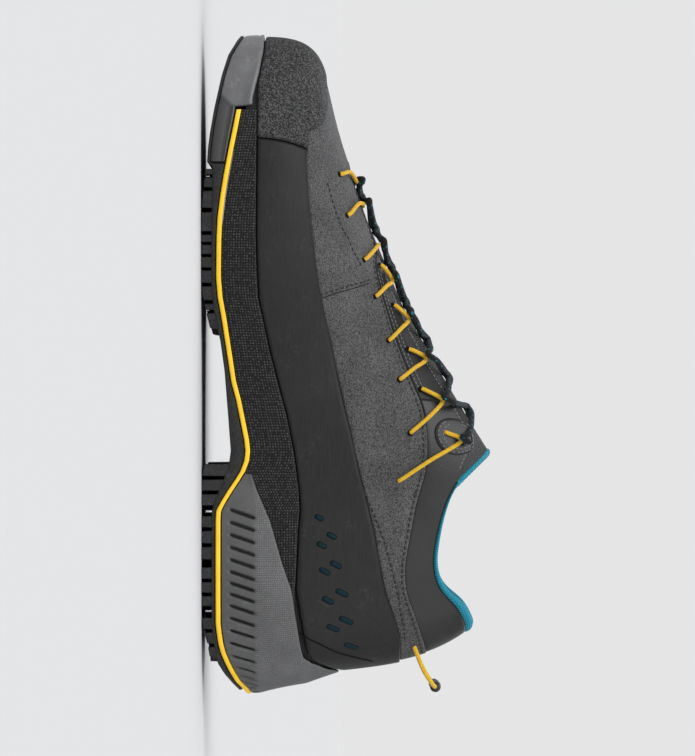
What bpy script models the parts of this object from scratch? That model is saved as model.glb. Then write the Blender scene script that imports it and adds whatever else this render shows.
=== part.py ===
"""An approach shoe for the right foot, standing empty on its sole.

The toe points to -X, the inner side of the foot to -Y and up is +Z. The floor is z = 0.
One surface, the skin, follows the last: each of its columns runs from the edge of the footbed,
up the side and over to the opening. Every piece of the shoe is built on that surface.
"""
import math
from collections import namedtuple

import bmesh
import bpy
from mathutils import Vector

# Main sizes in metres
LENGTH = 0.295
BALL_WIDTH = 0.1075
SOLE_HEIGHT = 0.025
UPPER_HEIGHT = 0.0925

# Thicknesses and clearances
GAP = 0.0003
WALL = 0.0020
SUEDE_STEP = 0.0009
RAND = 0.0015
RIM = 0.0023
STABILIZER = 0.0030
STRIPE = 0.0022
TONGUE = 0.0030
LINING = 0.0025
INSOLE = 0.0040
CLIMBING_EDGE = 0.0012
LUG_GAP = 0.0030
LUG_PITCH = 0.0110
RIB_PITCH = 0.0058
RIB_GROOVE = 0.0014
RIB_DEPTH = 0.0010
HEEL_ROOM = 0.0030
TONGUE_NOSE = 0.0070
TONGUE_DIP = 0.0058
LOOP_ARCH = 0.0006
BIGHT = 0.0012
LACE_SINK = 0.0034
LACE_RADIUS = 0.0013
LOOP_RADIUS = 0.00095
PULL_RADIUS = 0.0010
SLEEVE_RADIUS = 0.0023

# Counts
LUG_COLUMNS = 3
RIBS = 15

HALF = BALL_WIDTH / 2
LAST_ROW = 20

# One row for each section of the last, from toe tip to heel. Stations are shares of LENGTH,
# widths, reaches and bellies are shares of HALF, tops are shares of UPPER_HEIGHT above SOLE_HEIGHT,
# low and drop are shares of the column's own height, and suede is where the suede ends on it.
Row = namedtuple("Row", "base base_in base_out top top_in top_out height low drop"
                        " reach_in reach_out belly_in belly_out suede")
LAST = [Row(*values) for values in (
    (0.000, -0.242, -0.242, 0.197, -0.037, -0.037, 0.430, 0.91, 0.36, 0.82, 0.82, 0.04, 0.04, 0.95),
    (0.0085, -0.465, 0.047, 0.202, -0.149, 0.093, 0.435, 0.90, 0.36, 0.80, 0.80, 0.04, 0.04, 0.94),
    (0.041, -0.703, 0.363, 0.217, -0.242, 0.186, 0.446, 0.85, 0.34, 0.66, 0.66, 0.05, 0.04, 0.92),
    (0.095, -0.865, 0.633, 0.241, -0.288, 0.235, 0.469, 0.75, 0.30, 0.58, 0.50, 0.06, 0.03, 0.90),
    (0.159, -0.960, 0.826, 0.271, -0.295, 0.265, 0.504, 0.60, 0.26, 0.54, 0.44, 0.08, 0.02, 0.89),
    (0.231, -0.990, 0.943, 0.308, -0.275, 0.295, 0.547, 0.48, 0.22, 0.56, 0.38, 0.09, 0.01, 0.88),
    (0.298, -0.993, 0.993, 0.353, -0.262, 0.344, 0.601, 0.40, 0.19, 0.52, 0.34, 0.09, 0.01, 0.88),
    (0.366, -0.951, 0.997, 0.403, -0.280, 0.400, 0.665, 0.36, 0.20, 0.46, 0.28, 0.08, 0.01, 0.86),
    (0.434, -0.871, 0.943, 0.461, -0.295, 0.420, 0.755, 0.33, 0.24, 0.42, 0.26, 0.06, 0.01, 0.84),
    (0.498, -0.819, 0.889, 0.519, -0.335, 0.432, 0.865, 0.31, 0.27, 0.34, 0.22, 0.05, 0.01, 0.82),
    (0.559, -0.800, 0.839, 0.573, -0.405, 0.465, 0.975, 0.30, 0.28, 0.26, 0.18, 0.04, 0.01, 0.80),
    (0.610, -0.783, 0.811, 0.617, -0.474, 0.512, 1.030, 0.30, 0.29, 0.20, 0.14, 0.03, 0.01, 0.78),
    (0.661, -0.767, 0.791, 0.661, -0.530, 0.558, 0.985, 0.30, 0.28, 0.14, 0.10, 0.03, 0.02, 0.80),
    (0.712, -0.778, 0.776, 0.705, -0.555, 0.578, 0.911, 0.31, 0.28, 0.11, 0.08, 0.02, 0.02, 0.82),
    (0.763, -0.807, 0.757, 0.753, -0.556, 0.575, 0.865, 0.32, 0.28, 0.10, 0.08, 0.02, 0.02, 0.83),
    (0.814, -0.820, 0.729, 0.800, -0.534, 0.540, 0.846, 0.32, 0.28, 0.10, 0.08, 0.01, 0.01, 0.82),
    (0.861, -0.804, 0.685, 0.837, -0.484, 0.474, 0.874, 0.32, 0.28, 0.12, 0.10, -0.01, -0.01, 0.80),
    (0.912, -0.740, 0.601, 0.868, -0.391, 0.353, 0.957, 0.33, 0.28, 0.18, 0.16, -0.05, -0.05, 0.77),
    (0.963, -0.571, 0.428, 0.892, -0.251, 0.186, 0.997, 0.34, 0.28, 0.25, 0.24, -0.11, -0.11, 0.77),
    (0.990, -0.344, 0.177, 0.904, -0.149, 0.065, 0.999, 0.35, 0.27, 0.32, 0.32, -0.15, -0.15, 0.78),
    (1.000, -0.110, -0.110, 0.907, -0.043, -0.043, 0.992, 0.36, 0.27, 0.34, 0.34, -0.165, -0.165, 0.79),
)]

# Heights along the shoe: rows of station (share of LENGTH) and height (share of SOLE_HEIGHT)
FOOTBED = [(0, 0.84), (0.03, 0.824), (0.10, 0.80), (0.15, 0.745), (0.20, 0.66), (0.27, 0.60),
           (0.32, 0.58), (0.37, 0.592), (0.44, 0.68), (0.51, 0.80), (0.58, 0.90), (0.65, 0.98),
           (0.70, 0.98), (0.85, 0.98), (1, 1.0)]
STRIPE_LINE = [(0.117, 0.672), (0.146, 0.608), (0.176, 0.536), (0.22, 0.44), (0.25, 0.384),
               (0.28, 0.34), (0.31, 0.322), (0.37, 0.312), (0.40, 0.34), (0.434, 0.412),
               (0.464, 0.464), (0.495, 0.52), (0.525, 0.572), (0.553, 0.66), (0.583, 0.732),
               (0.614, 0.804), (0.63, 0.824), (0.645, 0.804), (0.661, 0.732), (0.675, 0.628),
               (0.69, 0.508), (0.707, 0.384), (0.72, 0.304), (0.735, 0.296), (0.89, 0.296),
               (0.905, 0.316), (0.92, 0.34), (0.935, 0.384), (0.95, 0.456), (0.963, 0.528),
               (0.98, 0.64), (0.993, 0.776), (1, 0.824)]
TOE_LINE = [(0, 0.80), (0.01, 0.752), (0.02, 0.70), (0.034, 0.62), (0.06, 0.58), (0.09, 0.58),
            (0.117, 0.616)]
UNDERSIDE = [(0, 0.704), (0.01, 0.624), (0.034, 0.472), (0.066, 0.36), (0.117, 0.232),
             (0.153, 0.16), (0.175, 0.128), (0.197, 0.112), (0.205, 0.208), (0.25, 0.20),
             (0.31, 0.184), (0.385, 0.184), (0.415, 0.216), (0.447, 0.288), (0.463, 0.336),
             (0.51, 0.412), (0.583, 0.48), (0.63, 0.52), (0.655, 0.48), (0.675, 0.38),
             (0.70, 0.26), (0.72, 0.184), (0.89, 0.18), (0.92, 0.216), (0.95, 0.28),
             (0.967, 0.40), (0.98, 0.52), (1, 0.72)]
TREAD = [(0.20, 0.092), (0.25, 0.032), (0.285, 0), (0.385, 0), (0.415, 0.072), (0.447, 0.16),
         (0.463, 0.22), (0.64, 0.10), (0.655, 0.03), (0.67, 0), (0.89, 0), (0.905, 0.06),
         (0.935, 0.14)]
BUMPER_TOP = [(0, 1.108), (0.025, 1.092), (0.042, 1.056), (0.06, 1.02), (0.08, 0.964),
              (0.096, 0.92), (0.113, 0.904)]
STABILIZER_TOP = [(0.661, 0.87), (0.69, 0.984), (0.735, 1.216), (0.80, 1.432), (0.84, 1.592),
                  (0.89, 1.68), (0.925, 1.736), (0.955, 1.80), (0.975, 1.96), (0.99, 2.20),
                  (1, 2.44)]
# The same, with the height as a share of UPPER_HEIGHT above SOLE_HEIGHT
RIM_TOP = [(0, -0.004), (0.10, -0.004), (0.31, -0.009), (0.37, -0.003), (0.40, 0.002),
           (0.44, 0.029), (0.48, 0.056), (0.53, 0.097), (0.575, 0.135), (0.635, 0.173),
           (0.69, 0.195), (0.72, 0.199), (0.75, 0.190), (0.80, 0.184), (0.85, 0.175),
           (0.90, 0.173), (1, 0.184)]
RAND_TOP = [(0, 0.237), (0.155, 0.237), (0.175, 0.232), (0.205, 0.237), (0.25, 0.246),
            (0.31, 0.266), (0.36, 0.285), (0.40, 0.308), (0.44, 0.334), (0.48, 0.363),
            (0.51, 0.382), (0.56, 0.417), (0.61, 0.456), (0.66, 0.489), (0.71, 0.530),
            (0.76, 0.565), (0.81, 0.589), (0.86, 0.616), (0.90, 0.653), (0.95, 0.686), (1, 0.686)]
# Rear edge of the toe cap in plan: rows of width (share of HALF) and station (share of LENGTH)
CAP_EDGE = [(-0.93, 0.158), (-0.856, 0.153), (-0.781, 0.1475), (-0.696, 0.138), (-0.614, 0.1275),
            (-0.545, 0.114), (-0.484, 0.10), (-0.378, 0.0756), (-0.26, 0.0603), (-0.15, 0.056),
            (-0.026, 0.0603), (0.06, 0.0664), (0.143, 0.0756), (0.227, 0.088), (0.394, 0.115),
            (0.478, 0.134), (0.562, 0.154), (0.646, 0.176), (0.713, 0.193)]

# Stations where pieces start and end, as shares of LENGTH
STRIPE_START = 0.117
BUMPER_END = 0.20
STABILIZER_START = 0.661
HEEL_FLARE_FULL = 0.72
RIB_START = 0.715
# Fields of lugs under the ball and the heel, as stations where they start and end
LUG_FIELDS = [(0.205, 0.455), (0.652, 0.718), (0.723, 0.945)]
# Stations of the outsole's other sections, where its underside or its outline turns
PLATE_STATIONS = [0.002, 0.01, 0.02, 0.034, 0.066, 0.09, 0.115, 0.119, 0.153, 0.175, 0.197, 0.202,
                  0.463, 0.495, 0.525, 0.553, 0.583, 0.614, 0.63, 0.645, 0.72, 0.95, 0.963, 0.98,
                  0.993]
# Stations added to a thin plate's sections at the toe, the waist and the heel
TOE_STATIONS = [0.0008, 0.004, 0.012, 0.03, 0.05, 0.07, 0.095]
WAIST_STATIONS = [0.34, 0.77, 0.81, 0.85]
HEEL_STATIONS = [0.92, 0.955, 0.978, 0.9975]
# Rows of LAST where the toe cap ends on each side, and where the collar lining starts
CAP_END_IN = 4.0
CAP_END_OUT = 4.5
COLLAR_ROW = 12.5
# Shares of a column: seam between cap and rand, least height of a band, and its gap to the suede
CAP_SEAM = 0.035
BAND_LEAST = 0.02
BAND_SHORT = 0.010
SUEDE_EDGE = 0.006
# Columns round the last are half a row apart, and one row apart along the straight sides
COLUMN = 0.5
SIDE_FROM = 6
SIDE_TO = 12

Spot = namedtuple("Spot", "point normal station")


def along(table, place):
    """Value at a place, on straight runs between the rows of a table."""
    if place <= table[0][0]:
        return table[0][1]
    for (x0, y0), (x1, y1) in zip(table, table[1:]):
        if place <= x1:
            return y0 + (y1 - y0) * (place - x0) / (x1 - x0)
    return table[-1][1]


def station_of(point):
    return point.x / LENGTH + 0.5


def sole_height(table, station):
    return SOLE_HEIGHT * along(table, station)


def upper_height(table, station):
    return SOLE_HEIGHT + UPPER_HEIGHT * along(table, station)


def blend(low, high, value):
    share = min(1.0, max(0.0, (value - low) / (high - low)))
    return share * share * (3 - 2 * share)


def knot(index):
    """Section values of one column of the last, counted round from the toe by the inner side."""
    index %= 2 * LAST_ROW
    inner = index <= LAST_ROW
    row = LAST[index if inner else 2 * LAST_ROW - index]
    if inner:
        side = (row.base_in, row.top_in, row.reach_in, row.belly_in)
    else:
        side = (row.base_out, row.top_out, row.reach_out, row.belly_out)
    return (row.base, row.top, row.height, row.low, row.drop, row.suede) + side


def section(turn):
    """Values and their slopes at any place round the last, on a smooth curve through the rows."""
    index = math.floor(turn)
    u = turn - index
    a, b, c, d = (knot(index + k) for k in (-1, 0, 1, 2))
    values = []
    slopes = []
    for p, q, r, s in zip(a, b, c, d):
        c1 = (r - p) / 2
        c2 = p - 2.5 * q + 2 * r - s / 2
        c3 = (s - p) / 2 + 1.5 * (q - r)
        values.append(q + u * (c1 + u * (c2 + u * c3)))
        slopes.append(c1 + u * (2 * c2 + u * 3 * c3))
    return values, slopes


def outline(turn):
    """Outer edge of the sole in plan, with its outward direction."""
    values, slopes = section(turn)
    tangent = Vector((slopes[0] * LENGTH, slopes[6] * HALF, 0)).normalized()
    point = Vector(((values[0] - 0.5) * LENGTH, values[6] * HALF, 0))
    return Spot(point, Vector((tangent.y, -tangent.x, 0)), values[0])


def band_width(station):
    """Width of the rim, bumper and stabilizer outside the skin."""
    return RIM + GAP + (STABILIZER + GAP) * blend(STABILIZER_START, HEEL_FLARE_FULL, station)


def skin(turn, rise):
    """Point of the last's surface: rise runs from 0 at the footbed to 1 at the opening."""
    spot = outline(turn)
    values, slopes = section(turn)
    base, top, height, low, drop, suede, base_y, top_y, reach, belly = values
    foot = spot.point - spot.normal * band_width(spot.station)
    foot.z = sole_height(FOOTBED, spot.station) + GAP
    end = Vector(((top - 0.5) * LENGTH, top_y * HALF, SOLE_HEIGHT + UPPER_HEIGHT * height))
    tall = end.z - foot.z
    inward = Vector((foot.x - end.x, foot.y - end.y, 0)).normalized()
    side = foot + spot.normal * belly * HALF + Vector((0, 0, low * tall))
    shoulder = end + inward * reach * HALF - Vector((0, 0, drop * tall))
    fall = 1 - rise
    return (foot * fall ** 3 + side * 3 * rise * fall ** 2
            + shoulder * 3 * rise ** 2 * fall + end * rise ** 3)


def on_skin(turn, rise, proud):
    """Point at a distance outside the skin, along its own normal."""
    step = 0.01
    round_way = skin(turn + step, rise) - skin(turn - step, rise)
    up_way = skin(turn, rise + step) - skin(turn, rise - step)
    return skin(turn, rise) + round_way.cross(up_way).normalized() * proud


def rise_where(test):
    """Place on a column where a test turns from true to false."""
    low, high = 0.0, 1.0
    for _ in range(26):
        middle = (low + high) / 2
        if test(middle):
            low = middle
        else:
            high = middle
    return low


def rise_at(turn, height):
    return rise_where(lambda rise: skin(turn, rise).z < height)


def flank(turn, height, out):
    """Point beside the skin at a height, moved outward in plan."""
    point = skin(turn, rise_at(turn, height))
    point += outline(turn).normal * out
    point.z = height
    return point


def turn_at(station, side):
    """Place round the last whose foot is at a station, on the inner (-1) or outer (1) side."""
    low, high = 0.0, float(LAST_ROW)
    for _ in range(30):
        middle = (low + high) / 2
        if outline(middle if side < 0 else -middle).station < station:
            low = middle
        else:
            high = middle
    return low if side < 0 else 2 * LAST_ROW - low


def cap_rise(turn):
    """Place on a column where it crosses the rear edge of the toe cap."""
    def ahead(rise):
        point = skin(turn, rise)
        return station_of(point) < along(CAP_EDGE, point.y / HALF)
    return rise_where(ahead)


def suede_start(turn):
    """Lower edge of the suede: the top of the rand, and the rear edge of the toe cap."""
    row = min(turn, 2 * LAST_ROW - turn)
    rand = rise_at(turn, upper_height(RAND_TOP, outline(turn).station))
    return max(rand, cap_rise(turn)) if row < CAP_END_OUT + 0.5 else rand


def spread(start, end, count):
    return [start + (end - start) * i / count for i in range(count + 1)]


def band_rises(turn):
    """Places up a column from the rim to the suede, shared by the upper and the bands on it."""
    rim = rise_at(turn, upper_height(RIM_TOP, outline(turn).station))
    return spread(rim, suede_start(turn), 3)


def columns(start, end):
    """Places between two ends, on the columns that the upper has, with the ends themselves."""
    first = math.floor(start / COLUMN + 0.2) + 1
    last = math.ceil(end / COLUMN - 0.2)
    places = [start]
    for turn in [i * COLUMN for i in range(first, last)]:
        row = min(turn % (2 * LAST_ROW), -turn % (2 * LAST_ROW))
        if turn == round(turn) or not SIDE_FROM < row < SIDE_TO:
            places.append(turn)
    return places + [end]


def finish(name, bm, colour, roughness, metallic=0.0):
    """Object with its own material from a closed mesh."""
    bmesh.ops.recalc_face_normals(bm, faces=bm.faces)
    mesh = bpy.data.meshes.new(name)
    bm.to_mesh(mesh)
    bm.free()
    mesh.shade_smooth()
    mesh.set_sharp_from_angle(angle=math.radians(40))
    material = bpy.data.materials.new(name)
    material.use_nodes = True
    shader = material.node_tree.nodes["Principled BSDF"]
    shader.inputs["Base Color"].default_value = (*colour, 1)
    shader.inputs["Roughness"].default_value = roughness
    shader.inputs["Metallic"].default_value = metallic
    mesh.materials.append(material)
    piece = bpy.data.objects.new(name, mesh)
    bpy.context.scene.collection.objects.link(piece)
    return piece


def sweep(rings, closed, split=False):
    """Mesh joining rings of equal size, closed round or capped at both ends.

    Pieces that lie on one another have their faces split along the shorter diagonal.
    """
    bm = bmesh.new()
    grid = [[bm.verts.new(point) for point in ring] for ring in rings]
    count = len(rings[0])
    pairs = list(zip(grid, grid[1:]))
    if closed:
        pairs.append((grid[-1], grid[0]))
    for ring, following in pairs:
        for i in range(count):
            j = (i + 1) % count
            a, b, c, d = ring[i], ring[j], following[j], following[i]
            if not split:
                bm.faces.new((a, b, c, d))
            elif (a.co - c.co).length < (b.co - d.co).length:
                bm.faces.new((a, b, c))
                bm.faces.new((a, c, d))
            else:
                bm.faces.new((b, c, d))
                bm.faces.new((b, d, a))
    if not closed:
        bm.faces.new(grid[0])
        bm.faces.new(reversed(grid[-1]))
    return bm


def tube(points, radius, sides):
    """Closed tube along a list of points."""
    rings = []
    up = Vector((0, 0, 1))
    for i, point in enumerate(points):
        ahead = points[min(i + 1, len(points) - 1)] - points[max(i - 1, 0)]
        ahead.normalize()
        across = ahead.cross(up).normalized()
        up = across.cross(ahead).normalized()
        rings.append([point + (across * math.cos(a) + up * math.sin(a)) * radius
                      for a in spread(0, math.tau, sides)[:-1]])
    return sweep(rings, False, True)


def smooth_route(points, steps):
    """Points on a smooth curve through a few chosen ones."""
    route = []
    for i in range(len(points) - 1):
        p = points[max(i - 1, 0)]
        q = points[i]
        r = points[i + 1]
        s = points[min(i + 2, len(points) - 1)]
        for k in range(steps):
            u = k / steps
            route.append(q + ((r - p) * u + (p * 2 - q * 5 + r * 4 - s) * u * u
                              + (s - p + (q - r) * 3) * u ** 3) / 2)
    return route + [points[-1]]


def stations_between(start, end, table):
    """Stations for a plate's sections, close together where the outline or its table turns."""
    places = TOE_STATIONS + WAIST_STATIONS + HEEL_STATIONS + [row[0] for row in table]
    return [start] + [s for s in sorted(places) if start < s < end] + [end]


def plate_rings(stations, low, high, out, across):
    """Rings across the shoe from the inner to the outer side, for a plate under the foot."""
    rings = []
    for station in stations:
        inner = outline(turn_at(station, -1))
        outer = outline(turn_at(station, 1))
        a = inner.point - inner.normal * out(station)
        b = outer.point - outer.normal * out(station)
        bottom = [a.lerp(b, share) for share in across]
        top = [a.lerp(b, share) for share in reversed(across)]
        for points, height in ((bottom, low), (top, high)):
            for point in points:
                point.z = height(station_of(point))
        rings.append(bottom + top)
    return rings


def stripe_bottom(station):
    return sole_height(STRIPE_LINE, station) - STRIPE / 2


def outsole_top(station):
    if station < STRIPE_START:
        return sole_height(TOE_LINE, station)
    return stripe_bottom(station) - 1.5 * GAP


def midsole_bottom(station):
    if station < STRIPE_START:
        return outsole_top(station) + GAP
    return stripe_bottom(station) + STRIPE + GAP


def heel_inset(station):
    return (STABILIZER + GAP) * blend(STABILIZER_START, HEEL_FLARE_FULL, station)


def make_outsole():
    """Rubber plate with rows of lugs under ball and heel, and a ledge for the bumper in front."""
    step = 0.5 * LUG_GAP / LENGTH
    lug_rows = []
    for start, end in LUG_FIELDS:
        count = round((end - start) * LENGTH / LUG_PITCH)
        pitch = (end - start) / count
        lug_rows += [(start + pitch * i + step, start + pitch * (i + 1) - step) for i in range(count)]
    stations = sorted(PLATE_STATIONS + [s for row in lug_rows for s in row])
    gap_share = LUG_GAP / BALL_WIDTH
    cell = (1 - gap_share * (LUG_COLUMNS - 1)) / LUG_COLUMNS
    across = [0.0]
    for _ in range(LUG_COLUMNS - 1):
        across += [across[-1] + cell, across[-1] + cell + gap_share]
    across.append(1.0)
    rings = []
    for station in stations:
        inner = outline(turn_at(station, -1))
        outer = outline(turn_at(station, 1))
        bottom = sole_height(UNDERSIDE, station)
        front = station < BUMPER_END
        ledge = bottom + CLIMBING_EDGE if front else outsole_top(station) - 2 * GAP
        inset = RIM + GAP if front else GAP
        ring = [inner.point.lerp(outer.point, share) + Vector((0, 0, bottom)) for share in across]
        for spot in (outer, inner):
            back = spot.point - spot.normal * inset
            top = max(outsole_top(station_of(back)), ledge + GAP)
            shelf = [spot.point + Vector((0, 0, ledge)), back + Vector((0, 0, ledge + GAP / 3)),
                     back + Vector((0, 0, top))]
            ring += shelf if spot is outer else reversed(shelf)
        rings.append(ring)
    bm = sweep(rings, False)
    lugs = []
    bm.faces.ensure_lookup_table()
    size = len(rings[0])
    for first, last in lug_rows:
        row = stations.index(first)
        for column in range(LUG_COLUMNS):
            lugs.append(bm.faces[row * size + 2 * column])
    for face in bmesh.ops.extrude_discrete_faces(bm, faces=lugs)["faces"]:
        for vert in face.verts:
            vert.co.z = sole_height(TREAD, station_of(vert.co))
    return finish("outsole", bm, (0.03, 0.03, 0.032), 0.7)


def make_stripe():
    stations = stations_between(STRIPE_START + 0.001, 0.9985, STRIPE_LINE)
    rings = plate_rings(stations, stripe_bottom, lambda s: stripe_bottom(s) + STRIPE,
                        lambda s: 0.0, (0, 1))
    return finish("sole_stripe", sweep(rings, False), (0.85, 0.55, 0.02), 0.6)


def make_midsole():
    """Cup with a raised rim beside the foot, let in at the toe for the bumper."""
    seam = STRIPE_START + 0.001
    start = turn_at(seam, -1)
    turns = columns(0.35, turn_at(seam - 0.006, -1)) + columns(start, LAST_ROW - 0.15)
    turns += [turn_at(row[0], -1) for row in STRIPE_LINE if 0.60 < row[0] < 0.73]
    rings = []
    for turn in sorted(turns):
        station = outline(turn).station
        ends = []
        for place in (turn, 2 * LAST_ROW - turn):
            spot = outline(place)
            bed = sole_height(FOOTBED, station)
            if turn < start:
                foot = spot.point - spot.normal * (RIM + GAP)
                bottom = outsole_top(min(station_of(foot), STRIPE_START - 0.001)) + 2 * GAP
                profile = [foot + Vector((0, 0, bottom))]
                profile += [foot + Vector((0, 0, bed - k * GAP)) for k in (4, 3, 2)]
                profile += [foot - spot.normal * GAP + Vector((0, 0, bed - GAP))]
            else:
                crest = upper_height(RIM_TOP, station)
                waist = (crest + bed) / 2
                low = spot.point - spot.normal * heel_inset(station)
                bottom = midsole_bottom(max(station_of(low), STRIPE_START))
                profile = [low + Vector((0, 0, bottom)),
                           flank(place, waist, RIM + GAP),
                           flank(place, crest, RIM + GAP),
                           flank(place, crest, 2 * GAP),
                           low - spot.normal * (RIM - GAP / 2) + Vector((0, 0, bed))]
            ends.append(profile)
        rings.append(list(reversed(ends[0])) + ends[1])
    return finish("midsole", sweep(rings, False, True), (0.02, 0.02, 0.022), 0.9)


def make_bumper():
    """Grey band that wraps the toe and runs out under the stripe."""
    ends = {}
    for side in (-1, 1):
        cut = [turn_at(STRIPE_START - step, side) for step in (0.010, 0.005)]
        ends[side] = cut + [turn_at(row[0], side) for row in STRIPE_LINE if row[0] < BUMPER_END - 0.02]
        ends[side] += [turn_at(BUMPER_END - 0.004, side)]
    turns = list(reversed(ends[1]))[:-1] + [t % (2 * LAST_ROW) for t in
                                            columns(ends[1][0] - 2 * LAST_ROW, ends[-1][0])]
    turns += ends[-1][1:]
    rings = []
    for turn in turns:
        spot = outline(turn)
        station = spot.station
        low = sole_height(UNDERSIDE, station) + CLIMBING_EDGE + GAP
        if station < STRIPE_START - 0.007:
            high = sole_height(BUMPER_TOP, station)
        else:
            high = stripe_bottom(station) - 2 * GAP
        middle = (low + high) / 2
        rings.append([flank(turn, low, GAP), flank(turn, low, RIM + GAP),
                      flank(turn, middle, RIM + GAP * 2), flank(turn, high, RIM + GAP),
                      flank(turn, high, GAP), flank(turn, middle, GAP)])
    return finish("toe_bumper", sweep(rings, False, True), (0.14, 0.14, 0.145), 0.45)


def make_stabilizer():
    """Grey heel band, thin at its tips and at its top, with upright grooves below."""
    first = turn_at(STABILIZER_START + 0.004, -1)
    last = turn_at(STABILIZER_START + 0.004, 1)
    ribs_from = turn_at(RIB_START, -1)
    ribs_to = turn_at(RIB_START, 1)
    tips = [row[0] for row in STRIPE_LINE if STABILIZER_START + 0.01 < row[0] < RIB_START - 0.005]
    grooves = [(first, 0)] + [(turn_at(station, -1), 0) for station in tips]
    share = RIB_GROOVE / RIB_PITCH
    for start, stop in ((ribs_from, LAST_ROW), (LAST_ROW, ribs_to)):
        pitch = (stop - start) / RIBS
        for i in range(RIBS):
            left = start + pitch * i
            grooves += [(left, 0), (left + pitch * share / 2, RIB_DEPTH), (left + pitch * share, 0)]
    grooves += [(ribs_to, 0)] + [(turn_at(station, 1), 0) for station in reversed(tips)] + [(last, 0)]
    rings = []
    for turn, groove in grooves:
        station = outline(turn).station
        low = sole_height(STRIPE_LINE, station) + STRIPE / 2 + 1.5 * GAP
        high = sole_height(STABILIZER_TOP, station)
        inner = RIM + 2.5 * GAP
        thick = band_width(station) - inner
        rear = blend(0.93, 0.985, station)
        crest = upper_height(RIM_TOP, station) + 2 * GAP
        tip_in = inner + (GAP - inner) * rear
        tip_out = inner + (0.5 * thick + GAP) * (1 - rear) + (RAND - RIM) * rear
        rib_low = low + 0.10 * (high - low)
        rib_high = low + (high - low) * (0.62 - 0.27 * rear)
        shoulder_in = min(high - GAP, crest)
        waist = min((crest + sole_height(FOOTBED, station)) / 2, (low + shoulder_in) / 2)
        rings.append([flank(turn, low, inner), flank(turn, low, inner + thick),
                      flank(turn, rib_low, inner + thick - groove),
                      flank(turn, rib_high, inner + thick * 0.9 - groove),
                      flank(turn, high, tip_out), flank(turn, high, tip_in),
                      flank(turn, shoulder_in, inner), flank(turn, waist, inner)])
    return finish("heel_stabilizer", sweep(rings, False, True), (0.15, 0.15, 0.155), 0.55)


def make_upper():
    """Hollow upper: bare wall under cap and rand, a step up to the suede and a step back."""
    rings = []
    for turn in columns(0, 2 * LAST_ROW)[:-1]:
        bare = band_rises(turn)
        low = bare[-1]
        high = section(turn)[0][5]
        ring = [on_skin(turn, rise, 0) for rise in [0] + bare]
        ring += [on_skin(turn, rise, SUEDE_STEP) for rise in spread(low + SUEDE_EDGE, high, 3)]
        ring += [on_skin(turn, rise, 0) for rise in (high + SUEDE_EDGE, 1)]
        ring += [on_skin(turn, rise, -WALL) for rise in (1, 0.92, 0.84, 0.62, 0.4, 0.2, 0)]
        ring[-1].z = ring[0].z
        rings.append(ring)
    return finish("upper", sweep(rings, True, True), (0.08, 0.08, 0.085), 0.9)


def overlay(turns, low):
    """Rings of a rubber band that lies on the skin from its lower edge to the suede."""
    rings = []
    for turn in turns:
        rises = band_rises(turn)
        edge = low(turn)
        rises = [edge, max(rises[1], edge + BAND_LEAST), max(rises[2], edge + 2 * BAND_LEAST),
                 rises[-1] - BAND_SHORT]
        rings.append([on_skin(turn, rise, GAP + RAND) for rise in rises]
                     + [on_skin(turn, rise, 1.6 * GAP) for rise in reversed(rises)])
    return rings


def cap_low(turn):
    station = outline(turn).station
    rim = upper_height(RIM_TOP, station)
    bumper = sole_height(BUMPER_TOP, station) if station < STRIPE_START + 0.01 else rim
    return rise_at(turn, max(rim, bumper) + GAP)


def rand_low(turn):
    station = outline(turn).station
    height = upper_height(RIM_TOP, station)
    if station > STABILIZER_START:
        height = max(height, sole_height(STABILIZER_TOP, station) + 5 * GAP)
    return rise_at(turn, height + GAP)


def make_cap():
    turns = [turn % (2 * LAST_ROW) for turn in columns(-CAP_END_OUT, CAP_END_IN)]
    return finish("toe_cap", sweep(overlay(turns, cap_low), False, True), (0.04, 0.04, 0.042), 0.75)


def make_rand():
    turns = columns(CAP_END_IN + CAP_SEAM, 2 * LAST_ROW - CAP_END_OUT - CAP_SEAM)
    return finish("rand", sweep(overlay(turns, rand_low), False, True), (0.03, 0.03, 0.032), 0.5)


def make_lining():
    """Soft collar lining that stands a little above the edge of the upper."""
    turns = columns(COLLAR_ROW, 2 * LAST_ROW - COLLAR_ROW)
    outer = -WALL - 2 * GAP
    rings = []
    for turn in turns:
        rises = (0.62, 0.84, 0.92, 1, 1.02)
        rings.append([on_skin(turn, rise, outer) for rise in rises]
                     + [on_skin(turn, rise, outer - LINING) for rise in reversed(rises)])
    return finish("collar_lining", sweep(rings, False, True), (0.01, 0.25, 0.33), 0.95)


# Centre line of the tongue: row of LAST, station (share of LENGTH) and height (share of
# UPPER_HEIGHT above SOLE_HEIGHT)
TONGUE_STATION = [(0, 0.197), (1, 0.203), (3, 0.247), (5, 0.315), (7, 0.410), (9, 0.515),
                  (11, 0.598), (12, 0.632)]
TONGUE_HEIGHT = [(0, 0.395), (1, 0.400), (3, 0.476), (5, 0.570), (7, 0.695), (9, 0.885),
                 (11, 1.045), (12, 1.113)]
TONGUE_EDGE = 0.72
TONGUE_TUCK = 0.16


def cover(row, across, proud):
    """Point on the skin as it would close over the throat; across runs from -1 to 1."""
    if abs(across) > TONGUE_EDGE:
        rise = 1 - TONGUE_TUCK * (abs(across) - TONGUE_EDGE) / (1 - TONGUE_EDGE)
        return on_skin(row if across < 0 else 2 * LAST_ROW - row, rise, proud)
    share = across / TONGUE_EDGE
    inner = on_skin(row, 1, proud)
    outer = on_skin(2 * LAST_ROW - row, 1, proud)
    crown = Vector(((along(TONGUE_STATION, row) - 0.5) * LENGTH, (inner.y + outer.y) / 2,
                    SOLE_HEIGHT + UPPER_HEIGHT * along(TONGUE_HEIGHT, row)))
    lean = Vector((-0.5, 0, 0.85)) * (proud + WALL + GAP)
    rise = crown + lean - (inner + outer) / 2
    return inner.lerp(outer, (share + 1) / 2) + rise * (1 - share * share)


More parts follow.
